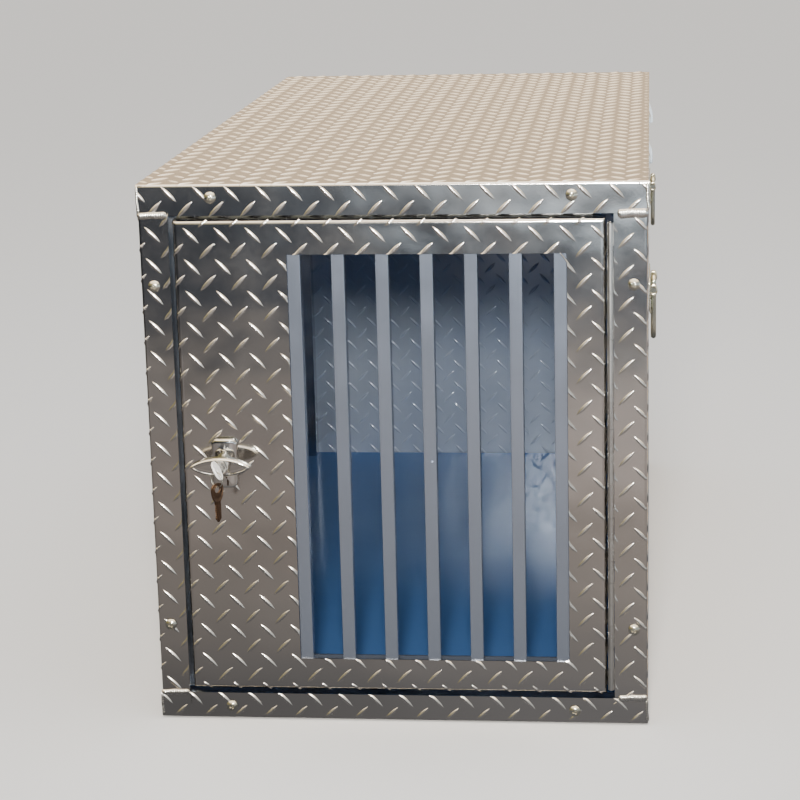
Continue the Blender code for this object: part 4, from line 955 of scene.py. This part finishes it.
def make_stage():
    """A plain pale floor, soft studio light, and the room that the bright metal mirrors.

    The camera and the soft light meet an even floor and an even sky. Only glossy rays meet
    the room: for them the floor glows with a painted reflection of a room, in bands of painted light and
    painted shade, and the sky holds walls and a ceiling of warmer colours.
    """
    radius, below, sides = 60, 0.0004, 96
    angle = 2 * np.pi * np.arange(sides) / sides
    rim = np.stack([radius * np.cos(angle), radius * np.sin(angle), np.full(sides, -below)], -1)
    mesh = bpy.data.meshes.new("stage_floor")
    mesh.from_pydata(rim.tolist(), [], [list(range(sides))])
    floor = bpy.data.objects.new("stage_floor", mesh)
    bpy.context.scene.collection.objects.link(floor)
    look = bpy.data.materials.new("pale_floor_with_painted_reflection")
    look.use_nodes = True
    tree = look.node_tree
    shader = tree.nodes["Principled BSDF"]
    shader.inputs["Base Color"].default_value = linear("#E8E5E0")
    shader.inputs["Roughness"].default_value = 0.8
    shader.inputs["Specular IOR Level"].default_value = 0.1
    place = node(tree, "ShaderNodeTexCoord").outputs["Object"]
    sideways = node(tree, "ShaderNodeSeparateXYZ", {0: place}).outputs["X"]
    away = node(tree, "ShaderNodeVectorMath", {0: place}, operation="LENGTH").outputs["Value"]
    # The bands of the painted room reflection, each at its share of six metres from the box; the dark grey
    # next to the box is a painted shadow of the box.
    share = node(tree, "ShaderNodeMath", {0: away, 1: 6.0}, operation="DIVIDE", use_clamp=True)
    ramp = node(tree, "ShaderNodeValToRGB", {"Fac": share})
    stops = (
        (0.110, "#6B6A6B"), (0.165, "#908A86"), (0.220, "#A29993"), (0.290, "#B4AAA5"), (0.390, "#A8A29E"),
        (0.480, "#5E6066"), (0.620, "#3F4550"), (0.760, "#454C58"), (0.900, "#68707C"),
    )
    band = ramp.color_ramp.elements
    band[0].position, band[0].color = stops[0][0], linear(stops[0][1])
    band[1].position, band[1].color = stops[-1][0], linear(stops[-1][1])
    for position, code in stops[1:-1]:
        band.new(position).color = linear(code)
    # Painted shadows of furniture, as dark and light patches that grow with distance, and
    # painted shade that makes the room darker on the left.
    blots = {"Vector": place, "Scale": 1.15, "Detail": 3.0, "Roughness": 0.6, "Distortion": 0.6}
    painted_shade_patches = node(tree, "ShaderNodeTexNoise", blots)
    depth, shaded, rightward, at_right = (
        node(tree, "ShaderNodeMapRange", {
            "Value": value, "From Min": low, "From Max": high, "To Min": least, "To Max": most,
        })
        for value, low, high, least, most in (
            (away, 1.2, 3.4, 0.25, 1.0), (painted_shade_patches, 0.36, 0.66, 0.38, 1.75),
            (sideways, -1.9, 0.3, 0.28, 1.14), (sideways, -1.3, 0.3, 0.0, 1.0),
        )
    )
    level = node(tree, "ShaderNodeMix", {0: depth, 2: 1.0, 3: shaded}, data_type="FLOAT")
    strength = node(tree, "ShaderNodeMath", {0: level, 1: rightward}, operation="MULTIPLY")
    # A painted pool of window light on the floor far off, strongest at the right, which the top rail picks
    # up.
    edge = {"Value": away, "From Min": 4.0, "From Max": 4.7}
    far_off = node(tree, "ShaderNodeMapRange", edge, interpolation_type="SMOOTHSTEP")
    steeper = node(tree, "ShaderNodeMath", {0: at_right, 1: 3.0}, operation="POWER")
    window = node(tree, "ShaderNodeMath", {0: far_off, 1: steeper}, operation="MULTIPLY")
    painted_window_light = [2.6 * v for v in linear("#CFDDE8")[:3]] + [1.0]
    lit = node(tree, "ShaderNodeMixRGB", {"Fac": window, "Color1": ramp, "Color2": painted_window_light})
    # For glossy rays only, the floor glows with this painted reflection of a room.
    glow = node(tree, "ShaderNodeEmission", {"Color": lit, "Strength": strength})
    mirrored = node(tree, "ShaderNodeLightPath").outputs["Is Glossy Ray"]
    mix = node(tree, "ShaderNodeMixShader", {0: mirrored, 1: shader, 2: glow})
    tree.links.new(mix.outputs[0], tree.nodes["Material Output"].inputs["Surface"])
    mesh.materials.append(look)

    world = bpy.data.worlds.new("studio")
    bpy.context.scene.world = world
    world.use_nodes = True
    tree = world.node_tree
    tree.nodes.clear()
    way = node(tree, "ShaderNodeSeparateXYZ", {0: node(tree, "ShaderNodeTexCoord").outputs["Generated"]})
    rightward, behind, above = (
        node(
            tree, "ShaderNodeMapRange", {"Value": way.outputs[axis], "From Min": low, "From Max": high},
            interpolation_type="SMOOTHSTEP",
        )
        for axis, low, high in (("X", -0.5, 0.4), ("Y", -0.1, 0.5), ("Z", 0.33, 0.66))
    )
    # From the left in front, each colour gives way to the next: right, behind the box, above.
    room = linear("#9E936A")
    for part, code in ((rightward, "#C2C6C4"), (behind, "#FADDB8"), (above, "#FFEACB")):
        colours = {"Fac": part, "Color1": room, "Color2": linear(code)}
        room = node(tree, "ShaderNodeMixRGB", colours)
    power = node(tree, "ShaderNodeMath", {0: above, 1: 2.3, 2: 1.05}, operation="MULTIPLY_ADD")
    mirrored = node(tree, "ShaderNodeBackground", {"Color": room, "Strength": power})
    soft = node(tree, "ShaderNodeBackground", {"Color": linear("#F1F2F4"), "Strength": 1.2})
    glossy = node(tree, "ShaderNodeLightPath").outputs["Is Glossy Ray"]
    mix = node(tree, "ShaderNodeMixShader", {0: glossy, 1: soft, 2: mirrored})
    out = node(tree, "ShaderNodeOutputWorld")
    tree.links.new(mix.outputs[0], out.inputs["Surface"])


def lamp(name, place, target, size, watts, colour, spread=180):
    """A soft area lamp that faces its target and falls off within its spread, in degrees."""
    data = bpy.data.lights.new(name, "AREA")
    data.shape = "DISK"
    data.size = size
    data.energy = watts
    data.spread = math.radians(spread)
    data.color = linear(colour)[:3]
    made = bpy.data.objects.new(name, data)
    bpy.context.scene.collection.objects.link(made)
    made.location = place
    made.rotation_euler = (Vector(target) - Vector(place)).to_track_quat("-Z", "Y").to_euler()


def make_camera():
    """The photograph's view: place and turn were solved from the box's corners."""
    image, sensor = 800, 36
    focal, yaw, pitch, roll = 2317.2, 0.11051, -0.24224, -0.02513
    ahead = Vector((-math.sin(yaw) * math.cos(pitch), math.cos(yaw) * math.cos(pitch), math.sin(pitch)))
    right = Vector((math.cos(yaw), math.sin(yaw), 0))
    up = right.cross(ahead)
    tilted_right = math.cos(roll) * right + math.sin(roll) * up
    tilted_up = -math.sin(roll) * right + math.cos(roll) * up
    data = bpy.data.cameras.new("camera")
    data.sensor_width = sensor
    data.lens = focal / image * sensor
    camera = bpy.data.objects.new("camera", data)
    bpy.context.scene.collection.objects.link(camera)
    turn = Matrix((tilted_right, tilted_up, -ahead)).transposed().to_4x4()
    camera.matrix_world = Matrix.Translation((0.28059, -3.03032, 0.99357)) @ turn
    bpy.context.scene.camera = camera


def main():
    """The stage, then each piece, then the finishes of the CAD nodes that stay in view."""
    make_camera()
    make_stage()
    lamp("flash", (0.22, -3.02, 1.25), (0.0, -0.3, 0.75), size=0.30, watts=20, colour="#FFFCF6",
         spread=60)
    lamp("ceiling_light", (0.4, -0.6, 3.2), (0.0, 0.0, 0.3), size=2.6, watts=40, colour="#F4F8FF")
    looks = make_looks()
    tread = (looks["tread"], looks["inside"])
    make_top_and_floor(tread)
    make_sides(tread, looks["louvre"])
    make_rear((looks["inside"], looks["tread"]))
    make_door(tread)
    make_hinge(looks["hinge"], looks["steel"])
    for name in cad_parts:
        if name.startswith("screw_"):
            screw_head(name, looks["screw"])
    make_welds(looks["weld"])
    for end in ("front", "rear"):
        for side, out in (("left", -1), ("right", 1)):
            make_handle_set(f"{end}_{side}", out, looks["cast"], looks["rod"])
    make_latch(looks["chrome"], looks["plug"], looks["key"], looks["brass"], looks["steel"])
    for kind, names in CAD_LOOKS.items():
        for name in names:
            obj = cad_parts[name]
            obj.data.materials.clear()
            obj.data.materials.append(looks[kind])


main()
